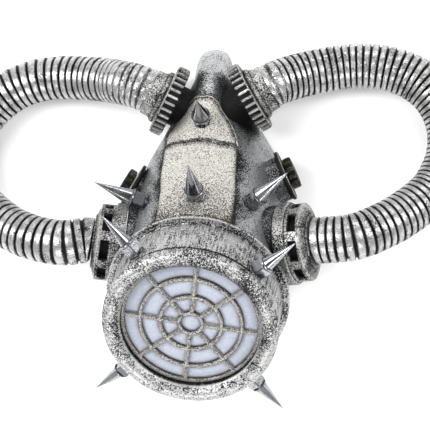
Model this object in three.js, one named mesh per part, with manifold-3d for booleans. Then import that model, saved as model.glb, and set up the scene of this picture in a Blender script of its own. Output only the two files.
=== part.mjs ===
// Half-face costume respirator in antique silver, lying on its open back rim.
// Millimetres. The rim rests on z = 0, +Y runs to the nose, -Y to the chin, +X to the viewer's right.

import * as THREE from 'three';
import { mergeVertices } from 'three/addons/utils/BufferGeometryUtils.js';
import Module from 'manifold-3d';

const wasm = await Module();
wasm.setup();

const rad = THREE.MathUtils.degToRad;
const lerp = THREE.MathUtils.lerp;

// Sizes shared by all pieces
const GAP = 0.3;
const WALL = 2.4;
const CENTRE_SHIFT_Y = 3.04;
const WELD = 1e-4;
const FACETS = { boss: 12, seat: 10, cone: 10, pad: 28, plate: 20 };
const SIDES = [{ side: 'left', sign: -1 }, { side: 'right', sign: 1 }];

// Canister at the mouth: its axis leans from straight up towards the chin
const CANISTER = {
  tilt: rad(34.5),
  backY: -47,
  backZ: 52.3,
  depth: 34.5,
  lipRadius: 50,
  lipThick: 1.9,
  lipBlend: 1,
  drumRadius: 46,
  drumTaper: 0.5,
  bezelLong: 7,
  bezelBlend: 1.5,
  bezelRise: 0.7,
  bezelRound: 1.6,
  bezelCrown: 3,
  crownWide: 2,
  mouthRadius: 37.1,
  mouthChamfer: 3.3,
  mouthLipAt: 28.2,
  boreRadius: 42.2,
  openingRadius: 38.2,
  floorAt: 20.8,
  floorThick: 1.5,
  sides: 34,
};
const PAD = { radius: 37.9, thick: 2.6 };
const GRILLE = { radius: 37.6, thick: 2.2, bar: 2.2, spokes: 8, turn: 9.9, eyeArcs: 3, arcSteps: 2 };
const GRILLE_RINGS = [
  { inner: 5.2, outer: 7.2 },
  { inner: 15.2, outer: 17.4 },
  { inner: 26.0, outer: 28.2 },
  { inner: 35.4, outer: 37.6 },
];

// Shell: a wall that runs from a round front edge behind the canister to the flat back rim
const SHELL = { frontRadius: 45, columns: 38, rows: 11, rimPace: 0.8, columnPace: 1.35 };
const RIM_OUTLINE = [
  { half: 0, y: 101.5 },
  { half: 7, y: 99.4 },
  { half: 10.4, y: 93 },
  { half: 11.6, y: 85 },
  { half: 18.6, y: 69 },
  { half: 29, y: 51 },
  { half: 40.5, y: 29 },
  { half: 44.6, y: 3 },
  { half: 45, y: -22 },
  { half: 43, y: -50 },
  { half: 31, y: -72 },
  { half: 15, y: -81 },
  { half: 0, y: -83 },
];
const WALL_LINES = {
  nose: { flare: 14.5, frontPull: 0.46, rimPull: 0.25, lean: 15 },
  side: { flare: -6, frontPull: 0.38, rimPull: 0.44, lean: 8 },
  chin: { flare: 28.5, frontPull: 0.4, rimPull: 0.35, lean: 5 },
};
const NOSE_DIP = { share: 0.16, y: 41, spread: 20, reach: 50 };
const NORMAL_STEP = { along: 0.01, angle: 1 };
const RIM_DIVISIONS = 800;
const HOLLOW_PAST = 3;
const PANEL = { rise: 1.3, sunk: 1, columns: 4, span: 57, fullness: 0.34, lean: 0.1 };
const PAD_ROWS = [
  { left: -27, leftAlong: 0.03, middle: 1, along: 0.02, right: 27, rightAlong: 0.03 },
  { left: -26.5, leftAlong: 0.195, middle: 1, along: 0.12, right: 26, rightAlong: 0.2 },
  { left: -29.5, leftAlong: 0.36, middle: 0, along: 0.23, right: 24.8, rightAlong: 0.315 },
  { left: -31.5, leftAlong: 0.585, middle: 0, along: 0.346, right: 24.3, rightAlong: 0.474 },
];
const ARCH_ROWS = [
  { left: -32.5, leftAlong: 0.61, middle: -0.5, along: 0.357, right: 24.6, rightAlong: 0.49 },
  { left: -32, leftAlong: 0.7, middle: -0.5, along: 0.4, right: 23.2, rightAlong: 0.535 },
  { left: -28, leftAlong: 0.745, middle: -0.5, along: 0.445, right: 19.6, rightAlong: 0.575 },
  { left: -21, leftAlong: 0.735, middle: -0.5, along: 0.49, right: 14.8, rightAlong: 0.585 },
  { left: -13, leftAlong: 0.66, middle: -0.5, along: 0.525, right: 9.5, rightAlong: 0.575 },
  { left: -4.5, leftAlong: 0.572, middle: -0.5, along: 0.55, right: 3.8, rightAlong: 0.56 },
  { left: -1.2, leftAlong: 0.558, middle: -0.5, along: 0.557, right: 0.2, rightAlong: 0.558 },
];

// Screw spikes: a square foot, a collar and a cone
const SPIKE = {
  foot: 7.4,
  footHigh: 6,
  shankRadius: 3.2,
  shankFrom: 1,
  collarHigh: 1.1,
  collarRise: 0.6,
  blend: 0.2,
};
const BROAD_CONE = { radius: 4.7, high: 22.5 };
const SLIM_CONE = { radius: 4, high: 19.8 };
const SPIKE_SEAT = { radius: 4.8, rise: 0.6, deep: 3 };
const SHELL_SPIKES = [
  { name: 'nose_spike_upper', angle: -1.2, along: 0.441, aim: 1.5, aimAlong: 0.45, lift: PANEL.rise },
  { name: 'nose_spike_lower', angle: 0.7, along: 0.1, aim: -3, aimAlong: 0.34, lift: PANEL.rise },
  { name: 'cheek_spike_left', angle: -43, along: 0.31, aim: -57, aimAlong: 0.14, lift: 0 },
  { name: 'cheek_spike_right', angle: 37.6, along: 0.246, aim: 42, aimAlong: 0.1, lift: 0 },
];
const CANISTER_SPIKES = [
  { name: 'canister_spike_upper_right', angle: 50.9, at: 23.2 },
  { name: 'canister_spike_lower_right', angle: 141.6, at: 22.8 },
  { name: 'canister_spike_lower_left', angle: 231.6, at: 23.2 },
  { name: 'canister_spike_upper_left', angle: 324.5, at: 18 },
];

// Lower ports: windowed collars beside the mouth
const PORT_PLACES = {
  left: { x: 45.55, y: -17.5, z: 35, turn: 6.5, rise: 13 },
  right: { x: 45.7, y: -17.5, z: 35, turn: 5, rise: 13 },
};
const PORT = {
  flangeRadius: 23,
  flangeThick: 6.2,
  flangeBlend: 0.8,
  collarRadius: 21.5,
  collarEnd: 14,
  shoulderEnd: 16.5,
  neckRadius: 15,
  length: 17.3,
  boreRadius: 11.5,
  hollowRadius: 17.5,
  shoulderWall: 0.5,
  backThick: 2,
  sides: 22,
  bossRadius: 22,
  bossLong: 14,
  bossDrop: 0,
};
const WINDOWS = { count: 8, start: 7.9, long: 4.7, wide: 11.6, deep: 9 };

// Upper ports: knurled caps beside the nose, each with a plain cuff
const CAP_PLACES = {
  left: { x: 19, y: 64.7, z: 22.8, turn: 25.2, rise: 15 },
  right: { x: 20.4, y: 65.6, z: 22.8, turn: 28.4, rise: 3 },
};
const CAP = {
  radius: 20.8,
  rootRadius: 19.5,
  thick: 7.5,
  ribs: 32,
  ribShare: 0.46,
  bossRadius: 12,
  bossLong: 14,
  bossDrop: 6,
};
const CUFF = {
  innerRadius: 11,
  baseRadius: 15.5,
  endRadius: 13.4,
  baseLong: 2.5,
  blend: 1,
  length: 9,
  sides: 16,
};

// Share of a tooth's pitch that each of its flanks takes
const TOOTH_FLANK = 0.12;

// Cheek ornaments: a round plate with a toothed nut on it
const GEAR_PLACES = {
  left: { x: 43.4, y: 16.3, z: 19.5, turn: 31, rise: 15 },
  right: { x: 43.4, y: 22.4, z: 19.5, turn: 23.4, rise: 1 },
};
const GEAR = {
  plateRadius: 14.6,
  plateThick: 2.2,
  nutRadius: 9.2,
  rootRadius: 7.6,
  nutThick: 5,
  teeth: 12,
  toothShare: 0.5,
  bossRadius: 13,
  bossLong: 12,
  bossDrop: 5,
};

// Hoses: the free middle points of each route, from the cuff at the nose to the port at the mouth
const HOSE = { radius: 13, innerRadius: 10.5, sides: 10, steps: 19, leadOut: 3 };
const HOSE_ROUTES = {
  left: [
    { x: -46.4, y: 76.2, z: 27.4 },
    { x: -59.2, y: 79.5, z: 22 },
    { x: -73.8, y: 82.3, z: 16.4 },
    { x: -91.1, y: 83.5, z: 13.6 },
    { x: -105.1, y: 81.9, z: 13.4 },
    { x: -119.1, y: 76.6, z: 13.4 },
    { x: -132.1, y: 66.7, z: 13.4 },
    { x: -143.1, y: 51.2, z: 13.6 },
    { x: -147.1, y: 33.5, z: 15 },
    { x: -141.1, y: 16.8, z: 19.2 },
    { x: -126.6, y: 1.6, z: 26.4 },
    { x: -109.6, y: -9, z: 34 },
    { x: -94.1, y: -14.6, z: 39.4 },
    { x: -78.1, y: -17, z: 41.8 },
  ],
  right: [
    { x: 52.3, y: 80.8, z: 18.4 },
    { x: 66.4, y: 84.4, z: 15.2 },
    { x: 80.6, y: 86.6, z: 13.7 },
    { x: 94.8, y: 86.2, z: 13.4 },
    { x: 109, y: 82.7, z: 13.4 },
    { x: 121.9, y: 75.2, z: 13.4 },
    { x: 131.9, y: 63.2, z: 13.4 },
    { x: 136.7, y: 47.1, z: 13.6 },
    { x: 134.9, y: 30.3, z: 15 },
    { x: 127.1, y: 14.6, z: 19.4 },
    { x: 114.1, y: 2.1, z: 27.4 },
    { x: 99.4, y: -7.5, z: 35.6 },
    { x: 83.9, y: -14, z: 41.2 },
  ],
};

// Finishes
const FINISH = {
  silver: { color: 0x8f9092, roughness: 0.45, metalness: 0.7 },
  spike: { color: 0x84868a, roughness: 0.25, metalness: 0.95 },
  felt: { color: 0xd9dcec, roughness: 0.95, metalness: 0 },
  bronze: { color: 0x4a4440, roughness: 0.5, metalness: 0.8 },
  hose: { color: 0xa2a3a4, roughness: 0.35, metalness: 0.75 },
};

// Joining and cutting closed meshes
function solidOf(geometry) {
  const bare = geometry.clone();
  bare.deleteAttribute('normal');
  bare.deleteAttribute('uv');
  const merged = mergeVertices(bare, WELD);
  const mesh = new wasm.Mesh({
    numProp: 3,
    vertProperties: new Float32Array(merged.attributes.position.array),
    triVerts: new Uint32Array(merged.index.array),
  });
  return new wasm.Manifold(mesh);
}

function geometryOf(solid) {
  const mesh = solid.getMesh();
  const geometry = new THREE.BufferGeometry();
  geometry.setAttribute('position', new THREE.BufferAttribute(mesh.vertProperties, 3));
  geometry.setIndex(new THREE.BufferAttribute(mesh.triVerts, 1));
  geometry.computeVertexNormals();
  return geometry;
}

// Placing a shape that was made along +Z onto a point with its +Z along a direction
function placement(point, direction, spin = 0) {
  const along = new THREE.Quaternion().setFromUnitVectors(new THREE.Vector3(0, 0, 1), direction);
  const about = new THREE.Quaternion().setFromAxisAngle(new THREE.Vector3(0, 0, 1), spin);
  return new THREE.Matrix4().compose(point, along.multiply(about), new THREE.Vector3(1, 1, 1));
}

// A turned shape: rows of radius and height, spun about +Z
function turned(rows, sides) {
  const outline = rows.map((row) => new THREE.Vector2(row[0], row[1]));
  return new THREE.LatheGeometry(outline, sides).rotateX(Math.PI / 2);
}

// A plain round bar along +Z, from one height to another
function bar(radius, from, to, sides) {
  return turned([[0, from], [radius, from], [radius, to], [0, to]], sides);
}

// A closed body from rings of points, with a fan over each end
function loft(rings) {
  const count = rings[0].length;
  const points = rings.flat();
  const faces = [];
  for (let row = 0; row + 1 < rings.length; row += 1) {
    for (let column = 0; column < count; column += 1) {
      const next = (column + 1) % count;
      const a = row * count + column;
      const b = row * count + next;
      faces.push(a, b, b + count, a, b + count, a + count);
    }
  }
  const ends = [{ ring: 0, flip: true }, { ring: rings.length - 1, flip: false }];
  for (const end of ends) {
    const middle = new THREE.Vector3();
    rings[end.ring].forEach((point) => middle.addScaledVector(point, 1 / count));
    const centre = points.push(middle) - 1;
    for (let column = 0; column < count; column += 1) {
      const a = end.ring * count + column;
      const b = end.ring * count + (column + 1) % count;
      faces.push(...(end.flip ? [centre, b, a] : [centre, a, b]));
    }
  }
  const geometry = new THREE.BufferGeometry().setFromPoints(points);
  geometry.setIndex(faces);
  return geometry;
}

// A toothed disc outline
function toothedShape(radius, rootRadius, teeth, share) {
  const shape = new THREE.Shape();
  const pitch = (2 * Math.PI) / teeth;
  for (let tooth = 0; tooth < teeth; tooth += 1) {
    const corners = [
      { at: 0, r: rootRadius },
      { at: TOOTH_FLANK, r: radius },
      { at: share, r: radius },
      { at: share + TOOTH_FLANK, r: rootRadius },
    ];
    corners.forEach((corner, index) => {
      const angle = pitch * (tooth + corner.at);
      const x = corner.r * Math.cos(angle);
      const y = corner.r * Math.sin(angle);
      if (tooth === 0 && index === 0) shape.moveTo(x, y);
      else shape.lineTo(x, y);
    });
  }
  shape.closePath();
  return shape;
}

// Canister frame: its axis, and the direction in its back plane that points to the nose
const canisterAxis = new THREE.Vector3(0, -Math.sin(CANISTER.tilt), Math.cos(CANISTER.tilt));
const canisterUp = new THREE.Vector3(0, Math.cos(CANISTER.tilt), Math.sin(CANISTER.tilt));
const canisterBack = new THREE.Vector3(0, CANISTER.backY, CANISTER.backZ);

// Direction out from the canister's axis; 0 degrees points to the nose, 90 to the viewer's right
function canisterRadial(angle) {
  const out = canisterUp.clone().multiplyScalar(Math.cos(rad(angle)));
  out.x += Math.sin(rad(angle));
  return out;
}

function canisterPoint(angle, radius, along) {
  return canisterBack.clone()
    .addScaledVector(canisterRadial(angle), radius)
    .addScaledVector(canisterAxis, along);
}

// Shell surface: lines run from the front edge to the rim, bowed by a pull at each end
const rimLoop = [
  ...RIM_OUTLINE.map((row) => new THREE.Vector3(row.half, row.y, 0)),
  ...RIM_OUTLINE.slice(1, -1).reverse().map((row) => new THREE.Vector3(-row.half, row.y, 0)),
];
const rimCurve = new THREE.CatmullRomCurve3(rimLoop, true, 'centripetal');
rimCurve.arcLengthDivisions = RIM_DIVISIONS;

function wallLine(angle) {
  const share = Math.cos(rad(angle));
  const end = share > 0 ? WALL_LINES.nose : WALL_LINES.chin;
  const mixed = {};
  for (const key of Object.keys(end)) mixed[key] = lerp(WALL_LINES.side[key], end[key], share * share);
  return mixed;
}

function shellPoint(signedAngle, t) {
  const angle = Math.abs(signedAngle);
  const line = wallLine(angle);
  const out = canisterRadial(angle);
  const rimShare = 0.5 * (angle / 180) ** SHELL.rimPace;
  const front = canisterPoint(angle, SHELL.frontRadius, 0);
  const rim = rimCurve.getPointAt(rimShare);
  const tangent = rimCurve.getTangentAt(rimShare);
  const rimOut = new THREE.Vector3(-tangent.y, tangent.x, 0);
  const reach = front.distanceTo(rim);
  const frontHandle = front.clone()
    .addScaledVector(canisterAxis, -Math.cos(rad(line.flare)) * line.frontPull * reach)
    .addScaledVector(out, Math.sin(rad(line.flare)) * line.frontPull * reach);
  const rimHandle = rim.clone()
    .addScaledVector(rimOut, -Math.sin(rad(line.lean)) * line.rimPull * reach);
  rimHandle.z += Math.cos(rad(line.lean)) * line.rimPull * reach;
  const point = new THREE.CubicBezierCurve3(front, frontHandle, rimHandle, rim).getPoint(t);
  const nearNose = Math.max(0, Math.cos(rad(Math.min(90, (angle * 90) / NOSE_DIP.reach))));
  const offset = (point.y - NOSE_DIP.y) / NOSE_DIP.spread;
  point.z *= 1 - NOSE_DIP.share * nearNose * nearNose * Math.exp(-offset * offset);
  if (signedAngle < 0) point.x = -point.x;
  return point;
}

function shellNormal(angle, t) {
  const before = Math.max(0, t - NORMAL_STEP.along);
  const after = Math.min(1, t + NORMAL_STEP.along);
  const around = shellPoint(angle + NORMAL_STEP.angle, t).sub(shellPoint(angle - NORMAL_STEP.angle, t));
  const along = shellPoint(angle, after).sub(shellPoint(angle, before));
  return around.cross(along).normalize();
}

function shellRing(t, inset) {
  const ring = [];
  for (let column = 0; column < SHELL.columns; column += 1) {
    const share = (2 * column) / SHELL.columns - 1;
    const angle = 180 * Math.sign(share) * Math.abs(share) ** SHELL.columnPace;
    const point = shellPoint(angle, t);
    if (inset > 0) {
      const inward = shellNormal(angle, t);
      if (t === 1) inward.setZ(0).normalize();
      point.addScaledVector(inward, -inset);
    }
    ring.push(point);
  }
  return ring;
}

function shellRings(inset) {
  const rings = [];
  for (let row = 0; row <= SHELL.rows; row += 1) rings.push(shellRing(row / SHELL.rows, inset));
  return rings;
}

// Nose panels: slabs that follow the shell and stand a little proud of it
// A row gives three places on the shell; across runs from -1 through 0 to 1
function through(first, second, third, across) {
  const bend = (first + third) / 2 - second;
  return second + across * (third - first) / 2 + across * across * bend;
}

function panelPoint(row, across, height) {
  const angle = through(row.left, row.middle, row.right, across);
  const swell = (PANEL.fullness * across + PANEL.lean) * across * (1 - across * across);
  const along = through(row.leftAlong, row.along, row.rightAlong, across);
  const raised = along + swell * row.along * ((row.right - row.left) / PANEL.span) ** 2;
  return shellPoint(angle, raised).addScaledVector(shellNormal(angle, raised), height);
}

function panelSolid(rows) {
  const rings = rows.map((row) => {
    const top = [];
    const under = [];
    for (let column = 0; column <= PANEL.columns; column += 1) {
      const across = lerp(-1, 1, column / PANEL.columns);
      top.push(panelPoint(row, across, PANEL.rise));
      under.unshift(panelPoint(row, across, -PANEL.sunk));
    }
    return [...under, ...top];
  });
  return solidOf(loft(rings));
}

// Port, cap and gear axes on each side
function sideFrame(place, sign) {
  const flat = Math.cos(rad(place.rise));
  const axis = new THREE.Vector3(
    sign * flat * Math.cos(rad(place.turn)),
    flat * Math.sin(rad(place.turn)),
    Math.sin(rad(place.rise)),
  );
  return { point: new THREE.Vector3(sign * place.x, place.y, place.z), axis };
}

function bossSolid(frame, sizes) {
  const shape = bar(sizes.bossRadius, -sizes.bossLong, -GAP, FACETS.boss);
  const up = new THREE.Vector3(0, 0, 1).addScaledVector(frame.axis, -frame.axis.z).normalize();
  const foot = frame.point.clone().addScaledVector(up, -sizes.bossDrop);
  return solidOf(shape.applyMatrix4(placement(foot, frame.axis)));
}

function shellSpikeFrame(spike) {
  const axis = shellNormal(spike.aim, spike.aimAlong);
  const point = shellPoint(spike.angle, spike.along);
  return { point: point.addScaledVector(axis, spike.lift), axis };
}

function canisterSpikeFrame(spike) {
  const point = canisterPoint(spike.angle, CANISTER.drumRadius, spike.at);
  return { point, axis: canisterRadial(spike.angle) };
}

function seatSolid(frame) {
  const shape = bar(SPIKE_SEAT.radius, -SPIKE_SEAT.deep, SPIKE_SEAT.rise, FACETS.seat);
  return solidOf(shape.applyMatrix4(placement(frame.point, frame.axis)));
}

// Pieces
function maskShell() {
  let body = solidOf(loft(shellRings(0)));
  body = body.add(panelSolid(PAD_ROWS)).add(panelSolid(ARCH_ROWS));
  for (const { side, sign } of SIDES) {
    body = body.add(bossSolid(sideFrame(PORT_PLACES[side], sign), PORT));
    body = body.add(bossSolid(sideFrame(CAP_PLACES[side], sign), CAP));
    body = body.add(bossSolid(sideFrame(GEAR_PLACES[side], sign), GEAR));
  }
  for (const spike of SHELL_SPIKES) body = body.add(seatSolid(shellSpikeFrame(spike)));
  const hollow = shellRings(WALL);
  const mouth = hollow[0].map((point) => point.clone().addScaledVector(canisterAxis, HOLLOW_PAST));
  const below = hollow[SHELL.rows].map((point) => point.clone().setZ(-HOLLOW_PAST));
  return geometryOf(body.subtract(solidOf(loft([mouth, ...hollow, below]))));
}

function canister() {
  const c = CANISTER;
  const lipEnd = GAP + c.lipThick;
  const bezelStart = c.depth - c.bezelLong;
  const rows = [
    [0, c.floorAt],
    [c.boreRadius, c.floorAt],
    [c.boreRadius, GAP],
    [c.lipRadius, GAP],
    [c.lipRadius, lipEnd],
    [c.drumRadius, lipEnd + c.lipBlend],
    [c.drumRadius - c.drumTaper, bezelStart],
    [c.drumRadius + c.bezelRise, bezelStart + c.bezelBlend],
    [c.drumRadius, c.depth - c.bezelRound],
    [c.drumRadius - c.bezelCrown, c.depth],
    [c.drumRadius - c.bezelCrown - c.crownWide, c.depth],
    [c.mouthRadius, c.depth - c.mouthChamfer],
    [c.mouthRadius, c.mouthLipAt],
    [c.openingRadius, c.mouthLipAt],
    [c.openingRadius, c.floorAt + c.floorThick],
    [0, c.floorAt + c.floorThick],
  ];
  let body = solidOf(turned(rows, c.sides).applyMatrix4(placement(canisterBack, canisterAxis)));
  for (const spike of CANISTER_SPIKES) body = body.add(seatSolid(canisterSpikeFrame(spike)));
  return geometryOf(body);
}

function filterPad() {
  const from = CANISTER.floorAt + CANISTER.floorThick + GAP;
  return bar(PAD.radius, from, from + PAD.thick, FACETS.pad)
    .applyMatrix4(placement(canisterBack, canisterAxis));
}

function grille() {
  const shape = new THREE.Shape();
  const eye = new THREE.Path();
  const turn = 2 * Math.PI;
  for (let arc = 0; arc < GRILLE.spokes; arc += 1) {
    const start = (turn * arc) / GRILLE.spokes;
    shape.absarc(0, 0, GRILLE.radius, start, start + turn / GRILLE.spokes, false);
  }
  for (let arc = 0; arc < GRILLE.eyeArcs; arc += 1) {
    const start = -(turn * arc) / GRILLE.eyeArcs;
    eye.absarc(0, 0, GRILLE_RINGS[0].inner, start, start - turn / GRILLE.eyeArcs, true);
  }
  shape.holes.push(eye);
  for (let ring = 0; ring + 1 < GRILLE_RINGS.length; ring += 1) {
    const inner = GRILLE_RINGS[ring].outer;
    const outer = GRILLE_RINGS[ring + 1].inner;
    for (let spoke = 0; spoke < GRILLE.spokes; spoke += 1) {
      const start = (turn * spoke) / GRILLE.spokes;
      const end = (turn * (spoke + 1)) / GRILLE.spokes;
      const window = new THREE.Path();
      window.absarc(0, 0, outer, start + GRILLE.bar / 2 / outer, end - GRILLE.bar / 2 / outer, false);
      window.absarc(0, 0, inner, end - GRILLE.bar / 2 / inner, start + GRILLE.bar / 2 / inner, true);
      window.closePath();
      shape.holes.push(window);
    }
  }
  const from = CANISTER.floorAt + CANISTER.floorThick + PAD.thick + 2 * GAP;
  const options = { depth: GRILLE.thick, bevelEnabled: false, curveSegments: GRILLE.arcSteps };
  const web = new THREE.ExtrudeGeometry(shape, options);
  web.translate(0, 0, from);
  return geometryOf(solidOf(web.applyMatrix4(placement(canisterBack, canisterAxis, rad(-GRILLE.turn)))));
}

function spike(frame, cone) {
  const foot = new THREE.BoxGeometry(SPIKE.foot, SPIKE.foot, SPIKE.footHigh);
  foot.translate(0, 0, SPIKE.footHigh / 2);
  const collarTop = SPIKE.footHigh + SPIKE.collarHigh;
  const point = turned([
    [0, SPIKE.shankFrom],
    [SPIKE.shankRadius, SPIKE.shankFrom],
    [SPIKE.shankRadius, SPIKE.footHigh + SPIKE.blend],
    [cone.radius + SPIKE.collarRise, SPIKE.footHigh + 2 * SPIKE.blend],
    [cone.radius + SPIKE.collarRise, collarTop],
    [cone.radius, collarTop + SPIKE.blend],
    [0, collarTop + cone.high],
  ], FACETS.cone);
  const solid = solidOf(foot).add(solidOf(point));
  const seat = frame.point.clone().addScaledVector(frame.axis, SPIKE_SEAT.rise + GAP);
  return geometryOf(solid).applyMatrix4(placement(seat, frame.axis));
}

function lowerPort(side, sign) {
  const p = PORT;
  const rows = [
    [0, 0],
    [p.flangeRadius, 0],
    [p.flangeRadius, p.flangeThick],
    [p.collarRadius, p.flangeThick + p.flangeBlend],
    [p.collarRadius, p.collarEnd],
    [p.neckRadius, p.shoulderEnd],
    [p.neckRadius, p.length],
    [p.boreRadius, p.length],
    [p.boreRadius, p.shoulderEnd - p.shoulderWall],
    [p.hollowRadius, p.collarEnd - p.shoulderWall],
    [p.hollowRadius, p.backThick],
    [0, p.backThick],
  ];
  let body = solidOf(turned(rows, p.sides));
  for (let index = 0; index < WINDOWS.count; index += 1) {
    const window = new THREE.BoxGeometry(WINDOWS.deep, WINDOWS.wide, WINDOWS.long);
    window.translate(p.collarRadius, 0, WINDOWS.start + WINDOWS.long / 2);
    window.rotateZ((2 * Math.PI * (index + 0.5)) / WINDOWS.count);
    body = body.subtract(solidOf(window));
  }
  const { point, axis } = sideFrame(PORT_PLACES[side], sign);
  return geometryOf(body).applyMatrix4(placement(point, axis));
}

function upperCap(side, sign) {
  const outline = toothedShape(CAP.radius, CAP.rootRadius, CAP.ribs, CAP.ribShare);
  const cap = new THREE.ExtrudeGeometry(outline, { depth: CAP.thick, bevelEnabled: false });
  const { point, axis } = sideFrame(CAP_PLACES[side], sign);
  return geometryOf(solidOf(cap)).applyMatrix4(placement(point, axis));
}

function hoseCuff(side, sign) {
  const from = CAP.thick + GAP;
  const rows = [
    [CUFF.innerRadius, from],
    [CUFF.baseRadius, from],
    [CUFF.baseRadius, from + CUFF.baseLong],
    [CUFF.endRadius, from + CUFF.baseLong + CUFF.blend],
    [CUFF.endRadius, from + CUFF.length],
    [CUFF.innerRadius, from + CUFF.length],
    [CUFF.innerRadius, from],
  ];
  const { point, axis } = sideFrame(CAP_PLACES[side], sign);
  return turned(rows, CUFF.sides).applyMatrix4(placement(point, axis));
}

function cheekPlate(side, sign) {
  const { point, axis } = sideFrame(GEAR_PLACES[side], sign);
  return bar(GEAR.plateRadius, 0, GEAR.plateThick, FACETS.plate).applyMatrix4(placement(point, axis));
}

function cheekGear(side, sign) {
  const outline = toothedShape(GEAR.nutRadius, GEAR.rootRadius, GEAR.teeth, GEAR.toothShare);
  const nut = new THREE.ExtrudeGeometry(outline, { depth: GEAR.nutThick, bevelEnabled: false });
  nut.translate(0, 0, GEAR.plateThick + GAP);
  const { point, axis } = sideFrame(GEAR_PLACES[side], sign);
  return geometryOf(solidOf(nut)).applyMatrix4(placement(point, axis));
}

function hoseCurve(side, sign) {
  const cap = sideFrame(CAP_PLACES[side], sign);
  const port = sideFrame(PORT_PLACES[side], sign);
  const cuffEnd = CAP.thick + CUFF.length + 2 * GAP;
  const portEnd = PORT.length + GAP;
  const points = [
    cap.point.clone().addScaledVector(cap.axis, cuffEnd),
    cap.point.clone().addScaledVector(cap.axis, cuffEnd + HOSE.leadOut),
    ...HOSE_ROUTES[side].map((row) => new THREE.Vector3(row.x, row.y, row.z)),
    port.point.clone().addScaledVector(port.axis, portEnd + HOSE.leadOut),
    port.point.clone().addScaledVector(port.axis, portEnd),
  ];
  return new THREE.CatmullRomCurve3(points, false, 'centripetal');
}

function hose(side, sign) {
  const ring = new THREE.Shape();
  const hole = new THREE.Path();
  for (let corner = 0; corner < HOSE.sides; corner += 1) {
    const angle = (2 * Math.PI * corner) / HOSE.sides;
    const move = corner === 0 ? 'moveTo' : 'lineTo';
    ring[move](HOSE.radius * Math.cos(angle), HOSE.radius * Math.sin(angle));
    hole[move](HOSE.innerRadius * Math.cos(-angle), HOSE.innerRadius * Math.sin(-angle));
  }
  ring.closePath();
  hole.closePath();
  ring.holes.push(hole);
  const path = hoseCurve(side, sign);
  return new THREE.ExtrudeGeometry(ring, { steps: HOSE.steps, extrudePath: path, bevelEnabled: false });
}

// Assembly
const mask = new THREE.Group();
mask.position.y = CENTRE_SHIFT_Y;

function add(name, geometry, finish) {
  const piece = new THREE.Mesh(geometry, new THREE.MeshStandardMaterial(finish));
  piece.name = name;
  mask.add(piece);
}

add('mask_shell', maskShell(), FINISH.silver);
add('canister', canister(), FINISH.silver);
add('filter_pad', filterPad(), FINISH.felt);
add('grille', grille(), FINISH.silver);
for (const row of SHELL_SPIKES) {
  add(row.name, spike(shellSpikeFrame(row), BROAD_CONE), FINISH.spike);
}
for (const row of CANISTER_SPIKES) {
  add(row.name, spike(canisterSpikeFrame(row), SLIM_CONE), FINISH.spike);
}
for (const { side, sign } of SIDES) {
  add(`lower_port_${side}`, lowerPort(side, sign), FINISH.silver);
  add(`upper_cap_${side}`, upperCap(side, sign), FINISH.silver);
  add(`hose_cuff_${side}`, hoseCuff(side, sign), FINISH.hose);
  add(`cheek_plate_${side}`, cheekPlate(side, sign), FINISH.bronze);
  add(`cheek_gear_${side}`, cheekGear(side, sign), FINISH.bronze);
  add(`hose_${side}`, hose(side, sign), FINISH.hose);
}

export default mask;
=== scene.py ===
# %% [markdown]
# # A spiked costume mask, dressed for its portrait
# The mask is a half-face costume respirator: a hollow shell over nose and mouth, a spiked drum
# with a grille in front, and a corrugated hose looped on each side. Its plain solids are already
# packed. This lesson lays detailed pieces over those solids, paints them in antique silver and
# lights them. Everything is in metres, in the imported model's own frame: the mask lies on z = 0,
# +Y runs to the nose and +X to the viewer's right.

# %% Open the imported model
import math

import bpy
import numpy as np
from mathutils import Matrix, Vector, kdtree
from mathutils.bvhtree import BVHTree


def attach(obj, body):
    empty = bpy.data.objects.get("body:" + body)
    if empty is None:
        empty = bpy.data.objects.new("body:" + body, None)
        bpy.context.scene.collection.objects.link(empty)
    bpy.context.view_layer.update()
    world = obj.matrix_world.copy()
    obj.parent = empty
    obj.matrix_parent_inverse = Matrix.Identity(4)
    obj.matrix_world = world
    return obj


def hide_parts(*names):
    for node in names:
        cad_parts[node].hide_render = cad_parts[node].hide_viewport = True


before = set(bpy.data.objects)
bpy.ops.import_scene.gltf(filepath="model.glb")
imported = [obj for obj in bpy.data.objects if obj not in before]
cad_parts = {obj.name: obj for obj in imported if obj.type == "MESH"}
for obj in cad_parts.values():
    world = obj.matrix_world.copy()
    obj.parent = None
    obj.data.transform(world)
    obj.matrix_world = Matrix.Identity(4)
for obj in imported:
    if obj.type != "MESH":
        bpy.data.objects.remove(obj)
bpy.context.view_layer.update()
print("nodes in the packed model:", len(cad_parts))

# %% [markdown]
# ## The camera
# The photographer stood almost straight over the table with a long lens, a little to the right
# and a little towards the chin. A camera can be aimed by hand, but building its three axes from
# two small leans and a roll keeps the view repeatable.

# %% Place the camera
AIM = Vector((0.0049, 0.00304, 0.025))
LEAN_TO_RIGHT = math.radians(8.5)
LEAN_TO_CHIN = math.radians(6)
ROLL = math.radians(0.6)
CAMERA_DISTANCE = 0.72
LENS_MM = 106.4


def place_camera():
    back = Vector((math.tan(LEAN_TO_RIGHT), -math.tan(LEAN_TO_CHIN), 1)).normalized()
    right = Vector((0, 1, 0)).cross(back).normalized()
    up = back.cross(right)
    rolled_right = right * math.cos(ROLL) + up * math.sin(ROLL)
    rolled_up = up * math.cos(ROLL) - right * math.sin(ROLL)
    data = bpy.data.cameras.new("photo_camera")
    data.lens = LENS_MM
    camera = bpy.data.objects.new("photo_camera", data)
    turn = Matrix((rolled_right, rolled_up, back)).transposed().to_4x4()
    camera.matrix_world = Matrix.Translation(AIM + back * CAMERA_DISTANCE) @ turn
    bpy.context.scene.collection.objects.link(camera)
    bpy.context.scene.camera = camera
    return camera


camera = place_camera()
print("camera at", tuple(round(v, 3) for v in camera.matrix_world.translation))
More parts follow.
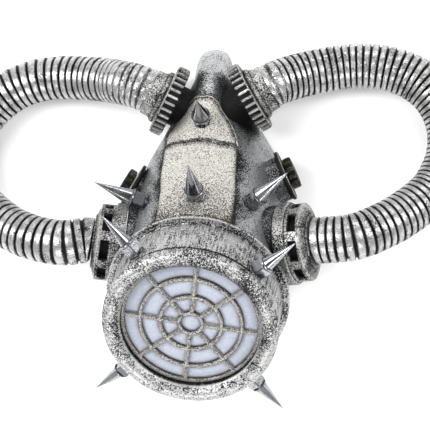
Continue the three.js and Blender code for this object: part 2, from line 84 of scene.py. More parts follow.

# %% [markdown]
# ## Parts, and how they become pieces
# Each piece is gathered from simple parts: a table of points, a list of faces, and a number per
# point for wash and shade. Mostly it says how much of the dark undercoat shows there: 1 in a groove,
# 0 on a plain surface and a little below 0 on a rubbed edge. In a few places it also holds painted
# shade: beside the caps, on the cap and port seats, and on the drum's nose and right sides. The
# paint reads it later. Sculpting would also do, but short formulas keep every size in sight.

# %% Helpers for parts
SHIFT = np.array((0, 0.00304, 0))
SMOOTH_ANGLE = math.radians(38)
MERGE_DISTANCE = 1e-6


def part(points, faces, wash_and_shade=0.0):
    points = np.asarray(points, float)
    wash_and_shade = np.broadcast_to(wash_and_shade, len(points)).astype(float)
    return {"points": points, "faces": faces, "wash_and_shade": wash_and_shade}


def joined(parts):
    faces = []
    start = 0
    for one in parts:
        faces += [[corner + start for corner in face] for face in one["faces"]]
        start += len(one["points"])
    points = np.vstack([one["points"] for one in parts])
    return part(points, faces, np.concatenate([one["wash_and_shade"] for one in parts]))


def moved(one, matrix):
    m = np.array(matrix)
    return part(one["points"] @ m[:3, :3].T + m[:3, 3], one["faces"], one["wash_and_shade"])


def placement(point, direction):
    turn = Vector((0, 0, 1)).rotation_difference(Vector(direction))
    return Matrix.Translation(Vector(point)) @ turn.to_matrix().to_4x4()


def grid_faces(rows, columns, wrap):
    faces = []
    for row in range(rows - 1):
        for column in range(columns if wrap else columns - 1):
            after = (column + 1) % columns
            low, high = row * columns, (row + 1) * columns
            faces.append([low + column, low + after, high + after, high + column])
    return faces


def object_from(name, one, shift=SHIFT):
    mesh = bpy.data.meshes.new(name)
    mesh.from_pydata((one["points"] + shift).tolist(), [], one["faces"])
    mesh.attributes.new("wash_and_shade", "FLOAT", "POINT").data.foreach_set("value", one["wash_and_shade"])
    face_outwards(mesh)
    piece = bpy.data.objects.new(name, mesh)
    bpy.context.scene.collection.objects.link(piece)
    return piece


print("helpers for parts are ready")

# %% [markdown]
# Faces have to point outwards, or light and bake go wrong. Blender can work that out for closed
# bodies, so every part is closed. Smooth shading with sharp creases above one angle then lets a
# few hundred faces read as turned or moulded plastic.

# %% Helpers for surfaces
import bmesh


def face_outwards(mesh):
    work = bmesh.new()
    work.from_mesh(mesh)
    bmesh.ops.remove_doubles(work, verts=work.verts, dist=MERGE_DISTANCE)
    bmesh.ops.recalc_face_normals(work, faces=work.faces)
    work.to_mesh(mesh)
    work.free()
    mesh.shade_smooth()
    mesh.set_sharp_from_angle(angle=SMOOTH_ANGLE)


def turned(rows, sides):
    """A closed body spun about +Z from rows of (radius, height, wash)."""
    rows = np.array(rows, float)
    angle = np.linspace(0, 2 * math.pi, sides, endpoint=False)
    around = np.stack([np.cos(angle), np.sin(angle)], -1)
    points = np.zeros((len(rows), sides, 3))
    points[..., :2] = rows[:, None, :1] * around[None]
    points[..., 2] = rows[:, None, 1]
    wash_and_shade = np.repeat(rows[:, 2], sides)
    return part(points.reshape(-1, 3), grid_faces(len(rows), sides, True), wash_and_shade)


def finish_piece(piece, material, slot, *nodes):
    piece.data.materials.clear()
    piece.data.materials.append(material)
    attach(piece, "root")
    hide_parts(*nodes)
    print(piece.name, "has", len(piece.data.polygons), "faces")
    return piece


print("helpers for surfaces are ready")

# %% [markdown]
# ## Antique silver, as layers of paint
# The real mask is black plastic dry-brushed with silver, so the black stays in grooves and in a
# fine speckle. One recipe makes all its variants: a fine noise gives specks, a broad noise gives
# clouds, the wash and shade number adds grooves and the few patches of painted shade, and their sum
# decides how dark a spot is. Metal, roughness and a little bump follow the same number, because
# bare undercoat is dull.

# %% Helpers for paint
def node(tree, kind, **inputs):
    made = tree.nodes.new(kind)
    for name, value in inputs.items():
        made.inputs[name.replace("_", " ")].default_value = value
    return made


def math_node(tree, operation, first, second, third=0.0):
    made = tree.nodes.new("ShaderNodeMath")
    made.operation = operation
    for socket, value in zip(made.inputs, (first, second, third)):
        if isinstance(value, (int, float)):
            socket.default_value = value
        else:
            tree.links.new(value, socket)
    return made.outputs[0]


def ranged(tree, value, low, high):
    made = node(tree, "ShaderNodeMapRange", To_Min=low, To_Max=high)
    tree.links.new(value, made.inputs["Value"])
    return made.outputs["Result"]


MIX_FIRST = 6
MIX_SECOND = 7
MIX_RESULT = 2


def mixed_colour(tree, amount, first, second):
    """A Mix node set to colours; its colour sockets share their names with others, so they go by number."""
    made = tree.nodes.new("ShaderNodeMix")
    made.data_type = "RGBA"
    tree.links.new(amount, made.inputs["Factor"])
    for socket, value in ((made.inputs[MIX_FIRST], first), (made.inputs[MIX_SECOND], second)):
        if isinstance(value, tuple):
            socket.default_value = (*value, 1)
        else:
            tree.links.new(value, socket)
    return made.outputs[MIX_RESULT]


print("helpers for paint are ready")

# %% [markdown]
# The recipe's inputs are what a painter would name: the bright and the dark colour, how big the
# specks are, how many show, how cloudy the coat is, how glossy and how metallic.

# %% The rubbed paint itself
CLOUD_SPECKS = 16
WASH_AND_SHADE_STRENGTH = 1.9
STREAK_WIDTH = 0.0012
SHADE_SHARE = 0.55
LIGHT_SHARE = 1.35
SHEEN_OF_COAT = 0.2
FINE_NOISE = {"Detail": 3.0, "Roughness": 0.65}
BROAD_NOISE = {"Detail": 3.0, "Roughness": 0.55}
STREAK_NOISE = {"Detail": 4.0, "Roughness": 0.7}
COAT_ROUGHER = 0.3
COAT_METAL = 0.2
BUMP_DEPTH = 0.0004
NOISE_MIDDLE = 0.5


def speckle(tree, where, size, kind):
    noise = node(tree, "ShaderNodeTexNoise", Scale=1 / size, **kind)
    tree.links.new(where, noise.inputs["Vector"])
    return math_node(tree, "SUBTRACT", noise.outputs["Fac"], NOISE_MIDDLE)


def rubbed_paint(name, bright, dark, speck, grain, specks, clouds, gloss, metal, bump, brushed=0.0):
    """Silver over a dark coat: specks set how much coat shows, grain and clouds how unevenly."""
    material = bpy.data.materials.new(name)
    material.use_nodes = True
    tree = material.node_tree
    shader = tree.nodes["Principled BSDF"]
    where = tree.nodes.new("ShaderNodeTexCoord").outputs["Object"]
    fine = speckle(tree, where, speck, FINE_NOISE)
    broad = speckle(tree, where, CLOUD_SPECKS * speck, BROAD_NOISE)
    # The attribute read here holds the dark wash and, in a few places, painted shade.
    wash_and_shade = tree.nodes.new("ShaderNodeAttribute")
    wash_and_shade.attribute_name = "wash_and_shade"
    level = math_node(tree, "MULTIPLY_ADD", fine, grain, specks)
    level = math_node(tree, "MULTIPLY_ADD", broad, clouds, level)
    level = math_node(tree, "MULTIPLY_ADD", wash_and_shade.outputs["Fac"], WASH_AND_SHADE_STRENGTH, level)
    if brushed > 0:
        stroke = tree.nodes.new("ShaderNodeAttribute")
        stroke.attribute_name = "stroke"
        streaks = speckle(tree, stroke.outputs["Vector"], STREAK_WIDTH, STREAK_NOISE)
        level = math_node(tree, "MULTIPLY_ADD", streaks, brushed, level)
    dullness = ranged(tree, level, 0.0, 1.0)
    tone = ranged(tree, math_node(tree, "ADD", broad, NOISE_MIDDLE), 0.0, 1.0)
    shade = tuple(SHADE_SHARE * channel for channel in bright)
    light = tuple(min(1.0, LIGHT_SHARE * channel) for channel in bright)
    silver = mixed_colour(tree, tone, shade, light)
    tree.links.new(mixed_colour(tree, dullness, silver, dark), shader.inputs["Base Color"])
    rough = ranged(tree, dullness, gloss, min(1.0, gloss + COAT_ROUGHER))
    tree.links.new(rough, shader.inputs["Roughness"])
    tree.links.new(ranged(tree, dullness, metal, COAT_METAL * metal), shader.inputs["Metallic"])
    relief = node(tree, "ShaderNodeBump", Strength=bump, Distance=BUMP_DEPTH)
    tree.links.new(fine, relief.inputs["Height"])
    tree.links.new(relief.outputs["Normal"], shader.inputs["Normal"])
    shader.inputs["Specular IOR Level"].default_value = SHEEN_OF_COAT
    return material


print("the recipe is ready, with wash strength", WASH_AND_SHADE_STRENGTH)

# %% Mix the paints
BLACK_COAT = (0.006, 0.006, 0.007)
BROWN_COAT = (0.04, 0.036, 0.031)
STEEL_COAT = (0.03, 0.03, 0.035)
BRONZE_COAT = (0.008, 0.0078, 0.0075)
PAINTS = {
    "shell silver": {"bright": (0.54, 0.55, 0.56), "dark": BLACK_COAT, "speck": 0.0007, "grain": 6.0,
                     "specks": 0.16, "clouds": 2.6, "gloss": 0.34, "metal": 0.9, "bump": 0.3},
    "speckled silver": {"bright": (0.62, 0.615, 0.60), "dark": BLACK_COAT, "speck": 0.0007, "grain": 7.0,
                        "specks": 0.34, "clouds": 3.2, "gloss": 0.34, "metal": 0.85, "bump": 0.4},
    "drum silver": {"bright": (0.62, 0.62, 0.615), "dark": BLACK_COAT, "speck": 0.0007, "grain": 6.5,
                    "specks": 0.2, "clouds": 3.4, "gloss": 0.43, "metal": 0.85, "bump": 0.4,
                    "brushed": 4.2},
    "web silver": {"bright": (0.52, 0.505, 0.475), "dark": BROWN_COAT, "speck": 0.0006, "grain": 7.0,
                   "specks": 0.3, "clouds": 1.2, "gloss": 0.45, "metal": 0.5, "bump": 0.3},
    "ivory rub": {"bright": (0.67, 0.655, 0.61), "dark": BROWN_COAT, "speck": 0.0007, "grain": 6.5,
                  "specks": 0.12, "clouds": 1.4, "gloss": 0.5, "metal": 0.1, "bump": 0.2},
    "hose silver": {"bright": (0.66, 0.66, 0.655), "dark": BLACK_COAT, "speck": 0.0006, "grain": 6.0,
                    "specks": 0.22, "clouds": 3.0, "gloss": 0.25, "metal": 0.9, "bump": 0.3},
    "spike steel": {"bright": (0.44, 0.45, 0.48), "dark": STEEL_COAT, "speck": 0.001, "grain": 2.4,
                    "specks": 0.12, "clouds": 1.6, "gloss": 0.1, "metal": 1.0, "bump": 0.06},
    "gear bronze": {"bright": (0.46, 0.43, 0.38), "dark": BRONZE_COAT, "speck": 0.0007, "grain": 2.4,
                    "specks": 1.1, "clouds": 1.2, "gloss": 0.32, "metal": 0.9, "bump": 0.15},
}
paints = {name: rubbed_paint(name, **row) for name, row in PAINTS.items()}
print("paints:", list(paints))

# %% [markdown]
# ## The hoses
# Each hose is a corrugated plastic tube that leaves the cuff beside the nose, loops out over the
# table and comes back up to the port at the mouth. A bevelled curve would give a plain pipe, so
# the tube is swept one ring at a time: rings of points along one smooth line, with a radius that
# steps between flat bands and narrow grooves. The free middle points repeat the imported route.

# %% Where the ports, caps and gears are
PORT_PLACES = {
    "left": {"point": (0.04555, -0.0175, 0.035), "turn": 6.5, "rise": 13},
    "right": {"point": (0.0457, -0.0175, 0.035), "turn": 5, "rise": 13},
}
CAP_PLACES = {
    "left": {"point": (0.019, 0.0647, 0.0228), "turn": 25.2, "rise": 15},
    "right": {"point": (0.0204, 0.0656, 0.0228), "turn": 28.4, "rise": 3},
}
GEAR_PLACES = {
    "left": {"point": (0.0434, 0.0163, 0.0195), "turn": 31, "rise": 15},
    "right": {"point": (0.0434, 0.0224, 0.0195), "turn": 23.4, "rise": 1},
}
PORT_LENGTH = 0.0173
CAP_THICK = 0.0075
CUFF_LENGTH = 0.009
GAP = 0.0003
SIDES = {"left": -1, "right": 1}


def side_frame(places, side):
    """The middle of a piece's inner face and the direction out of it."""
    row, sign = places[side], SIDES[side]
    turn, rise = math.radians(row["turn"]), math.radians(row["rise"])
    axis = (sign * math.cos(rise) * math.cos(turn), math.cos(rise) * math.sin(turn), math.sin(rise))
    x, y, z = row["point"]
    return np.array((sign * x, y, z)), np.array(axis)


print("right port axis", side_frame(PORT_PLACES, "right")[1].round(3))

# %% The routes of the hoses
HOSE_RADIUS = 0.013
GROOVE_RADIUS = 0.0112
RIB_PITCH = {"left": 0.0046, "right": 0.004}
HOSE_SIDES = 36
LEAD = 0.003
HOSE_ROUTES = {
    "left": [
        (-0.0464, 0.0762, 0.0274), (-0.0592, 0.0795, 0.0220), (-0.0738, 0.0823, 0.0164),
        (-0.0911, 0.0835, 0.0136), (-0.1051, 0.0819, 0.0134), (-0.1191, 0.0766, 0.0134),
        (-0.1321, 0.0667, 0.0134), (-0.1431, 0.0512, 0.0136), (-0.1471, 0.0335, 0.0150),
        (-0.1411, 0.0168, 0.0192), (-0.1266, 0.0016, 0.0264), (-0.1096, -0.0090, 0.0340),
        (-0.0941, -0.0146, 0.0394), (-0.0781, -0.0170, 0.0418),
    ],
    "right": [
        (0.0523, 0.0808, 0.0184), (0.0664, 0.0844, 0.0152), (0.0806, 0.0866, 0.0137),
        (0.0948, 0.0862, 0.0134), (0.1090, 0.0827, 0.0134), (0.1219, 0.0752, 0.0134),
        (0.1319, 0.0632, 0.0134), (0.1367, 0.0471, 0.0136), (0.1349, 0.0303, 0.0150),
        (0.1271, 0.0146, 0.0194), (0.1141, 0.0021, 0.0274), (0.0994, -0.0075, 0.0356),
        (0.0839, -0.0140, 0.0412),
    ],
}


def hose_points(side):
    cap, cap_axis = side_frame(CAP_PLACES, side)
    port, port_axis = side_frame(PORT_PLACES, side)
    start = CAP_THICK + CUFF_LENGTH + 2 * GAP
    end = PORT_LENGTH + GAP
    first = [cap + cap_axis * start, cap + cap_axis * (start + LEAD)]
    last = [port + port_axis * (end + LEAD), port + port_axis * end]
    return np.vstack([first, HOSE_ROUTES[side], last])


print("points on each route:", {side: len(hose_points(side)) for side in SIDES})

# %% [markdown]
# A centripetal curve passes through every point without loops, however unevenly they are spaced.
# The same curve later draws the rim of the shell.

# %% A smooth line through points
LINE_STEPS = 40


def smooth_line(points, closed):
    """A fine chain of points along the curve, with the same number of steps from point to point."""
    points = np.asarray(points, float)
    if closed:
        chain = np.vstack([points[-1:], points, points[:2]])
    else:
        chain = np.vstack([2 * points[0] - points[1], points, 2 * points[-1] - points[-2]])
    share = np.linspace(0, 1, LINE_STEPS, endpoint=False)[:, None]
    pieces = []
    for before, start, end, after in zip(chain, chain[1:], chain[2:], chain[3:]):
        d0 = np.linalg.norm(start - before) ** 0.5
        d1 = np.linalg.norm(end - start) ** 0.5
        d2 = np.linalg.norm(after - end) ** 0.5
        leave = d1 * ((start - before) / d0 - (end - before) / (d0 + d1) + (end - start) / d1)
        arrive = d1 * ((end - start) / d1 - (after - start) / (d1 + d2) + (after - end) / d2)
        bend = 2 * (start - end) + leave + arrive
        swing = 3 * (end - start) - 2 * leave - arrive
        pieces.append(start + share * (leave + share * (swing + share * bend)))
    pieces.append(points[:1] if closed else points[-1:])
    return np.vstack(pieces)


def lengths_along(line):
    return np.concatenate([[0], np.cumsum(np.linalg.norm(np.diff(line, axis=0), axis=1))])


def at_lengths(line, wanted):
    along = lengths_along(line)
    return np.stack([np.interp(wanted, along, line[:, k]) for k in range(3)], -1)


left_route = smooth_line(hose_points("left"), False)
print("length of the left route:", round(lengths_along(left_route)[-1], 4))

# %% [markdown]
# The rib table gives one rib from groove to groove: how far along the pitch each ring sits, how
# far out it is, and how much black stays there. Next to the cap the first few ribs are closer and
# shallower. Real ribs are never quite even, so a seeded random number nudges each one.

# %% Ribs along a hose
RIB_ROWS = [
    {"at": 0.00, "out": 0.00, "wash_and_shade": 1.0},
    {"at": 0.08, "out": 0.10, "wash_and_shade": 1.0},
    {"at": 0.13, "out": 0.70, "wash_and_shade": 0.6},
    {"at": 0.20, "out": 0.96, "wash_and_shade": 0.1},
    {"at": 0.36, "out": 1.00, "wash_and_shade": 0.0},
    {"at": 0.64, "out": 1.00, "wash_and_shade": 0.0},
    {"at": 0.81, "out": 0.96, "wash_and_shade": 0.1},
    {"at": 0.87, "out": 0.70, "wash_and_shade": 0.6},
    {"at": 0.92, "out": 0.10, "wash_and_shade": 1.0},
]
RIB_SEED = 7
PITCH_PLAY = 0.06
CROWN_PLAY = 0.00018
CLOSE_RIBS = {"left": 9, "right": 3}
CLOSE_PITCH = 0.62
CLOSE_DEPTH = 0.45


def rib_stations(length, pitch, close):
    """Rings from end to end as rows of (place along the hose, radius, wash), and the number of ribs."""
    count = round(length / pitch)
    near_cap = np.arange(count) < close
    random = np.random.default_rng(RIB_SEED)
    widths = np.where(near_cap, CLOSE_PITCH, 1) + PITCH_PLAY * random.uniform(-1, 1, count)
    starts = np.concatenate([[0], np.cumsum(widths)]) / widths.sum() * length
    rows = []
    for rib in range(count):
        crown = HOSE_RADIUS - CROWN_PLAY * random.uniform(0, 1)
        depth = (crown - GROOVE_RADIUS) * (CLOSE_DEPTH if near_cap[rib] else 1)
        darkness = CLOSE_DEPTH if near_cap[rib] else 1
        for row in RIB_ROWS:
            along = starts[rib] + row["at"] * (starts[rib + 1] - starts[rib])
            radius = crown - (1 - row["out"]) * depth
            rows.append((along, radius, darkness * row["wash_and_shade"]))
    rows.append((length, GROOVE_RADIUS, 1.0))
    return np.array(rows), count


print("rings in one rib:", len(RIB_ROWS))

# %% Sweep the hoses
def ring_axes(centres):
    """Two directions across the line at each centre, carried along it without twisting."""
    along = np.gradient(centres, axis=0)
    along /= np.linalg.norm(along, axis=1)[:, None]
    across = np.cross(along[0], (0, 0, 1))
    first = []
    for direction in along:
        across = across - direction * across.dot(direction)
        across /= np.linalg.norm(across)
        first.append(across)
    first = np.array(first)
    return first, np.cross(along, first)


def corrugated(line, pitch, close):
    length = lengths_along(line)[-1]
    rows, ribs = rib_stations(length, pitch, close)
    centres = at_lengths(line, rows[:, 0])
    first, second = ring_axes(centres)
    angle = np.linspace(0, 2 * math.pi, HOSE_SIDES, endpoint=False)
    sideways, upwards = np.cos(angle)[None, :, None], np.sin(angle)[None, :, None]
    ring = sideways * first[:, None] + upwards * second[:, None]
    points = (centres[:, None] + ring * rows[:, 1, None, None]).reshape(-1, 3)
    faces = grid_faces(len(rows), HOSE_SIDES, True)
    faces.append(list(range(HOSE_SIDES)))
    faces.append(list(range(len(points) - HOSE_SIDES, len(points))))
    return part(points, faces, np.repeat(rows[:, 2], HOSE_SIDES)), length, ribs


for side in SIDES:
    line = smooth_line(hose_points(side), False)
    tube, length, ribs = corrugated(line, RIB_PITCH[side], CLOSE_RIBS[side])
    hose = object_from(f"corrugated_hose_{side}", tube)
    finish_piece(hose, paints["hose silver"], "hose_silver", f"hose_{side}")
    print("hose", side, "is", round(length, 3), "m long with", ribs, "ribs")

# %% [markdown]
# ## The drum's frame
# The drum at the mouth leans from straight up towards the chin. Two directions describe it: its
# axis, and the way up to the nose in its back plane. Angles round it start at the nose and grow
# towards the viewer's right.

# %% Directions of the drum
DRUM_TILT = math.radians(34.5)
DRUM_BACK = np.array((0, -0.047, 0.0523))
DRUM_AXIS = np.array((0, -math.sin(DRUM_TILT), math.cos(DRUM_TILT)))
DRUM_UP = np.array((0, math.cos(DRUM_TILT), math.sin(DRUM_TILT)))


def drum_radial(angle):
    turn = np.radians(np.asarray(angle, float))[..., None]
    return np.cos(turn) * DRUM_UP + np.sin(turn) * np.array((1.0, 0, 0))


def drum_point(angle, radius, along):
    return DRUM_BACK + radius * drum_radial(angle) + along * DRUM_AXIS


print("drum axis", DRUM_AXIS.round(3))

# %% [markdown]
# ## The shell's surface
# The shell is a wall that runs from a round edge behind the drum to a flat rim on the table. Each
# line of the wall is a four-point curve whose two pulls change smoothly from nose to cheek to
# chin. A subdivided cage could be pushed into this shape, but the formula gives a point and a
# normal anywhere, so panels, studs and paint can all be placed on it exactly.

# %% The rim
RIM_OUTLINE = [
    (0.0, 0.1015), (0.007, 0.0994), (0.0104, 0.093), (0.0116, 0.085), (0.0186, 0.069),
    (0.029, 0.051), (0.0405, 0.029), (0.0446, 0.003), (0.045, -0.022), (0.043, -0.05),
    (0.031, -0.072), (0.015, -0.081), (0.0, -0.083),
]
RIM_PACE = 0.8


def rim_line():
    right = [(half, y, 0.0) for half, y in RIM_OUTLINE]
    left = [(-half, y, 0.0) for half, y in reversed(RIM_OUTLINE[1:-1])]
    return smooth_line(right + left, True)


rim = rim_line()
rim_share = lengths_along(rim) / lengths_along(rim)[-1]
rim_way = np.gradient(rim, axis=0)
rim_way /= np.linalg.norm(rim_way, axis=1)[:, None]
print("rim is", round(lengths_along(rim)[-1], 3), "m round")

# %% A point on the shell
FRONT_RADIUS = 0.045
WALL_LINES = {
    "flare": {"nose": 14.5, "side": -6, "chin": 28.5},
    "front_pull": {"nose": 0.46, "side": 0.38, "chin": 0.4},
    "rim_pull": {"nose": 0.25, "side": 0.44, "chin": 0.35},
    "lean": {"nose": 15, "side": 8, "chin": 5},
}
NOSE_DIP = {"share": 0.16, "y": 0.041, "spread": 0.02, "reach": 50}


def wall_value(name, angle):
    ends = WALL_LINES[name]
    share = np.cos(np.radians(angle))
    end = np.where(share > 0, ends["nose"], ends["chin"])
    return ends["side"] + (end - ends["side"]) * share**2


def shell_point(signed_angle, t):
    """The point at an angle from the nose, in degrees, and from t = 0 at the drum to 1 at the rim."""
    signed_angle, t = np.broadcast_arrays(np.asarray(signed_angle, float), np.asarray(t, float))
    angle = np.abs(signed_angle)
    share = 0.5 * (angle / 180) ** RIM_PACE
    front = drum_point(angle, FRONT_RADIUS, 0)
    foot = np.stack([np.interp(share, rim_share, rim[:, k]) for k in range(3)], -1)
    way = np.stack([np.interp(share, rim_share, rim_way[:, k]) for k in range(3)], -1)
    outward = np.stack([-way[..., 1], way[..., 0], np.zeros_like(share)], -1)
    reach = np.linalg.norm(front - foot, axis=-1)
    flare, lean = np.radians(wall_value("flare", angle)), np.radians(wall_value("lean", angle))
    pull_front = (wall_value("front_pull", angle) * reach)[..., None]
    pull_rim = (wall_value("rim_pull", angle) * reach)[..., None]
    leave = np.sin(flare)[..., None] * drum_radial(angle) - np.cos(flare)[..., None] * DRUM_AXIS
    arrive = np.cos(lean)[..., None] * np.array((0, 0, 1.0)) - np.sin(lean)[..., None] * outward
    handle, foot_handle = front + pull_front * leave, foot + pull_rim * arrive
    s = t[..., None]
    point = (1 - s) ** 3 * front + 3 * s * (1 - s) ** 2 * handle
    point += 3 * s**2 * (1 - s) * foot_handle + s**3 * foot
    near_nose = np.cos(np.radians(np.minimum(90, angle * 90 / NOSE_DIP["reach"]))) ** 2
    offset = (point[..., 1] - NOSE_DIP["y"]) / NOSE_DIP["spread"]
    point[..., 2] *= 1 - NOSE_DIP["share"] * near_nose * np.exp(-(offset**2))
    point[..., 0] = np.where(signed_angle < 0, -point[..., 0], point[..., 0])
    return point


def shell_normal(angle, t):
    step, turn = 0.01, 1.0
    t = np.asarray(t, float)
    around = shell_point(np.asarray(angle) + turn, t) - shell_point(np.asarray(angle) - turn, t)
    along = shell_point(angle, np.minimum(1, t + step)) - shell_point(angle, np.maximum(0, t - step))
    normal = np.cross(around, along)
    return normal / np.linalg.norm(normal, axis=-1)[..., None]


print("nose bridge, halfway down:", shell_point(0, 0.5).round(4), shell_normal(0, 0.5).round(2))

# %% [markdown]
# ## Studs and seats
# Four spikes stand on the shell and four round the drum. Their places are worked out once here,
# because the shell needs a little plinth under each, and the spikes need the same axes later.

# %% Where the spikes stand
PANEL_RISE = 0.0013
DRUM_RADIUS = 0.046
SPIKES_ON_SHELL = {
    "nose_spike_upper": {"angle": -1.2, "along": 0.441, "aim": 1.5, "aim_along": 0.45, "lift": PANEL_RISE},
    "nose_spike_lower": {"angle": 0.7, "along": 0.1, "aim": -3, "aim_along": 0.34, "lift": PANEL_RISE},
    "cheek_spike_left": {"angle": -43, "along": 0.31, "aim": -57, "aim_along": 0.14, "lift": 0},
    "cheek_spike_right": {"angle": 37.6, "along": 0.246, "aim": 42, "aim_along": 0.1, "lift": 0},
}
SPIKES_ON_DRUM = {
    "canister_spike_upper_right": {"angle": 50.9, "at": 0.0232},
    "canister_spike_lower_right": {"angle": 141.6, "at": 0.0228},
    "canister_spike_lower_left": {"angle": 231.6, "at": 0.0232},
    "canister_spike_upper_left": {"angle": 324.5, "at": 0.018},
}


def spike_frames():
    frames = {}
    for name, row in SPIKES_ON_SHELL.items():
        axis = shell_normal(row["aim"], row["aim_along"])
        frames[name] = (shell_point(row["angle"], row["along"]) + row["lift"] * axis, axis)
    for name, row in SPIKES_ON_DRUM.items():
        place = drum_point(row["angle"], DRUM_RADIUS, row["at"])
        frames[name] = (place, drum_radial(row["angle"]))
    return frames


spikes_at = spike_frames()
SEAT_ROWS = [
    (0, -0.003, 0.3), (0.0048, -0.003, 0.6), (0.0048, 0.0003, 0.5), (0.0045, 0.0006, 0.3), (0, 0.0006, 0.6),
]
SEAT_SIDES = 28


def seat(frame_of_spike):
    return moved(turned(SEAT_ROWS, SEAT_SIDES), placement(*frame_of_spike))


print("spikes:", list(spikes_at))

# %% [markdown]
# ## The nose panels
# Two raised panels ride on the nose: a pad that meets the drum, and a pointed arch above it with a
# thin rolled edge. They follow the shell, so each is a grid on its surface, lifted by a height
# that depends on the distance to the panel's own outline. Measuring that distance in space gives
# an even rolled edge all the way round, which a bevel would not manage at the arch's tip.

# %% Outlines of the panels
PANEL_STEPS = 72
OUTLINE_STEPS = 400
PANEL_SUNK = 0.001
PANEL_SWELL = {"span": 57, "fullness": 0.34, "lean": 0.1}
ROW_COLUMNS = ("left", "left_along", "middle", "along", "right", "right_along")
PAD_ROWS = [
    (-27, 0.03, 1, 0.02, 27, 0.03),
    (-26.5, 0.195, 1, 0.12, 26, 0.2),
    (-29.5, 0.36, 0, 0.23, 24.8, 0.315),
    (-31.5, 0.585, 0, 0.346, 24.3, 0.474),
]
ARCH_ROWS = [
    (-32.5, 0.61, -0.5, 0.357, 24.6, 0.49),
    (-32, 0.7, -0.5, 0.4, 23.2, 0.535),
    (-28, 0.745, -0.5, 0.445, 19.6, 0.575),
    (-21, 0.735, -0.5, 0.49, 14.8, 0.585),
    (-13, 0.66, -0.5, 0.525, 9.5, 0.575),
    (-4.5, 0.572, -0.5, 0.55, 3.8, 0.56),
    (-1.2, 0.558, -0.5, 0.557, 0.2, 0.558),
]


def through(first, second, third, across):
    """A smooth run through three values, at -1, 0 and 1."""
    bend = (first + third) / 2 - second
    return second + across * (third - first) / 2 + across**2 * bend


def panel_grid(rows):
    """Angles and places along the wall for a grid that runs through a panel's rows."""
    fine = smooth_line(rows, False)
    pick = np.linspace(0, len(fine) - 1, PANEL_STEPS)
    columns = [np.interp(pick, np.arange(len(fine)), fine[:, k])[:, None] for k in range(len(ROW_COLUMNS))]
    row = dict(zip(ROW_COLUMNS, columns))
    across = np.linspace(-1, 1, PANEL_STEPS)[None]
    angle = through(row["left"], row["middle"], row["right"], across)
    along = through(row["left_along"], row["along"], row["right_along"], across)
    swell = (PANEL_SWELL["fullness"] * across + PANEL_SWELL["lean"]) * across * (1 - across**2)
    return angle, along + swell * row["along"] * ((row["right"] - row["left"]) / PANEL_SWELL["span"]) ** 2


print("pad rows:", len(PAD_ROWS), "arch rows:", len(ARCH_ROWS))

# %% How the panels' edges roll
PAD_RIM = {
    "in": [0, 0.0006, 0.0012, 0.002, 0.0032],
    "height": [-0.0004, 0.0005, 0.001, 0.0012, 0.0013],
    "wash_and_shade": [0.9, 0.6, 0.3, 0.12, 0.0],
}
PAD_SEAM = {
    "in": [0, 0.0005, 0.0010, 0.0024, 0.0034],
    "height": [-0.0002, 0.0008, 0.0014, 0.0015, 0.0013],
    "wash_and_shade": [0.9, 0.5, 0.34, 0.34, 0.0],
}
ARCH_RIM = {
    "in": [0, 0.0003, 0.0007, 0.0011, 0.0018, 0.0034],
    "height": [-0.0002, 0.0011, 0.0014, 0.0011, 0.0006, 0.0009],
    "wash_and_shade": [0.5, -0.2, -0.15, 0.75, 0.4, 0.0],
}
ARCH_SEAM = {
    "in": [0, 0.0004, 0.0009, 0.0016],
    "height": [-0.0004, 0.0003, 0.0008, 0.0014],
    "wash_and_shade": [0.9, 0.7, 0.2, 0.0],
}
PAD_FOOT = {"along": [0, 0.06, 0.16, 0.3], "wash_and_shade": [0.42, 0.36, 0.12, 0.0]}
STUD_STAIN = {"from_stud": [0, 0.005, 0.009, 0.014], "wash_and_shade": [0.55, 0.4, 0.15, 0.0]}
PAD_STAINED = 1.0
ARCH_STAINED = 0.15
print("height steps at the arch's edge:", len(ARCH_RIM["in"]))

# %% Raise the panels
def distance_to(points, line):
    tree = kdtree.KDTree(len(line))
    for index, point in enumerate(line):
        tree.insert(point, index)
    tree.balance()
    return np.array([tree.find(point)[2] for point in points])


def panel_part(rows, rim, seam, seam_row, stained):
    """One raised panel, and its outline on the shell."""
    angle, along = panel_grid(rows)
    surface = shell_point(angle, along)
    points, normals = surface.reshape(-1, 3), shell_normal(angle, along).reshape(-1, 3)
    edges = [surface[:, 0], surface[:, -1], surface[-1 - seam_row], surface[seam_row]]
    outline = [at_lengths(edge, np.linspace(0, lengths_along(edge)[-1], OUTLINE_STEPS)) for edge in edges]
    inside, below = distance_to(points, np.vstack(outline[:3])), distance_to(points, outline[3])
    rim_height = np.interp(inside, rim["in"], rim["height"])
    height = np.minimum(rim_height, np.interp(below, seam["in"], seam["height"]))
    studs = [point for point, _ in spikes_at.values()]
    stain = stained * np.interp(distance_to(points, studs), STUD_STAIN["from_stud"], STUD_STAIN["wash_and_shade"])
    foot = np.interp(along.reshape(-1), PAD_FOOT["along"], PAD_FOOT["wash_and_shade"])
    edge, band = np.interp(inside, rim["in"], rim["wash_and_shade"]), np.interp(below, seam["in"], seam["wash_and_shade"])
    wash_and_shade = edge + np.maximum.reduce([stain, foot, band])
    top, under = points + normals * height[:, None], points - normals * PANEL_SUNK
    count = len(points)
    faces = grid_faces(PANEL_STEPS, PANEL_STEPS, False)
    faces += [[corner + count for corner in reversed(face)] for face in faces]
    index = np.arange(count).reshape(PANEL_STEPS, PANEL_STEPS)
    loop = np.concatenate([index[0, :-1], index[:-1, -1], index[-1, :0:-1], index[:0:-1, 0]]).tolist()
    for here, after in zip(loop, loop[1:] + loop[:1]):
        faces.append([here, after, after + count, here + count])
    return part(np.vstack([top, under]), faces, np.concatenate([wash_and_shade, np.ones(count)])), np.vstack(outline)


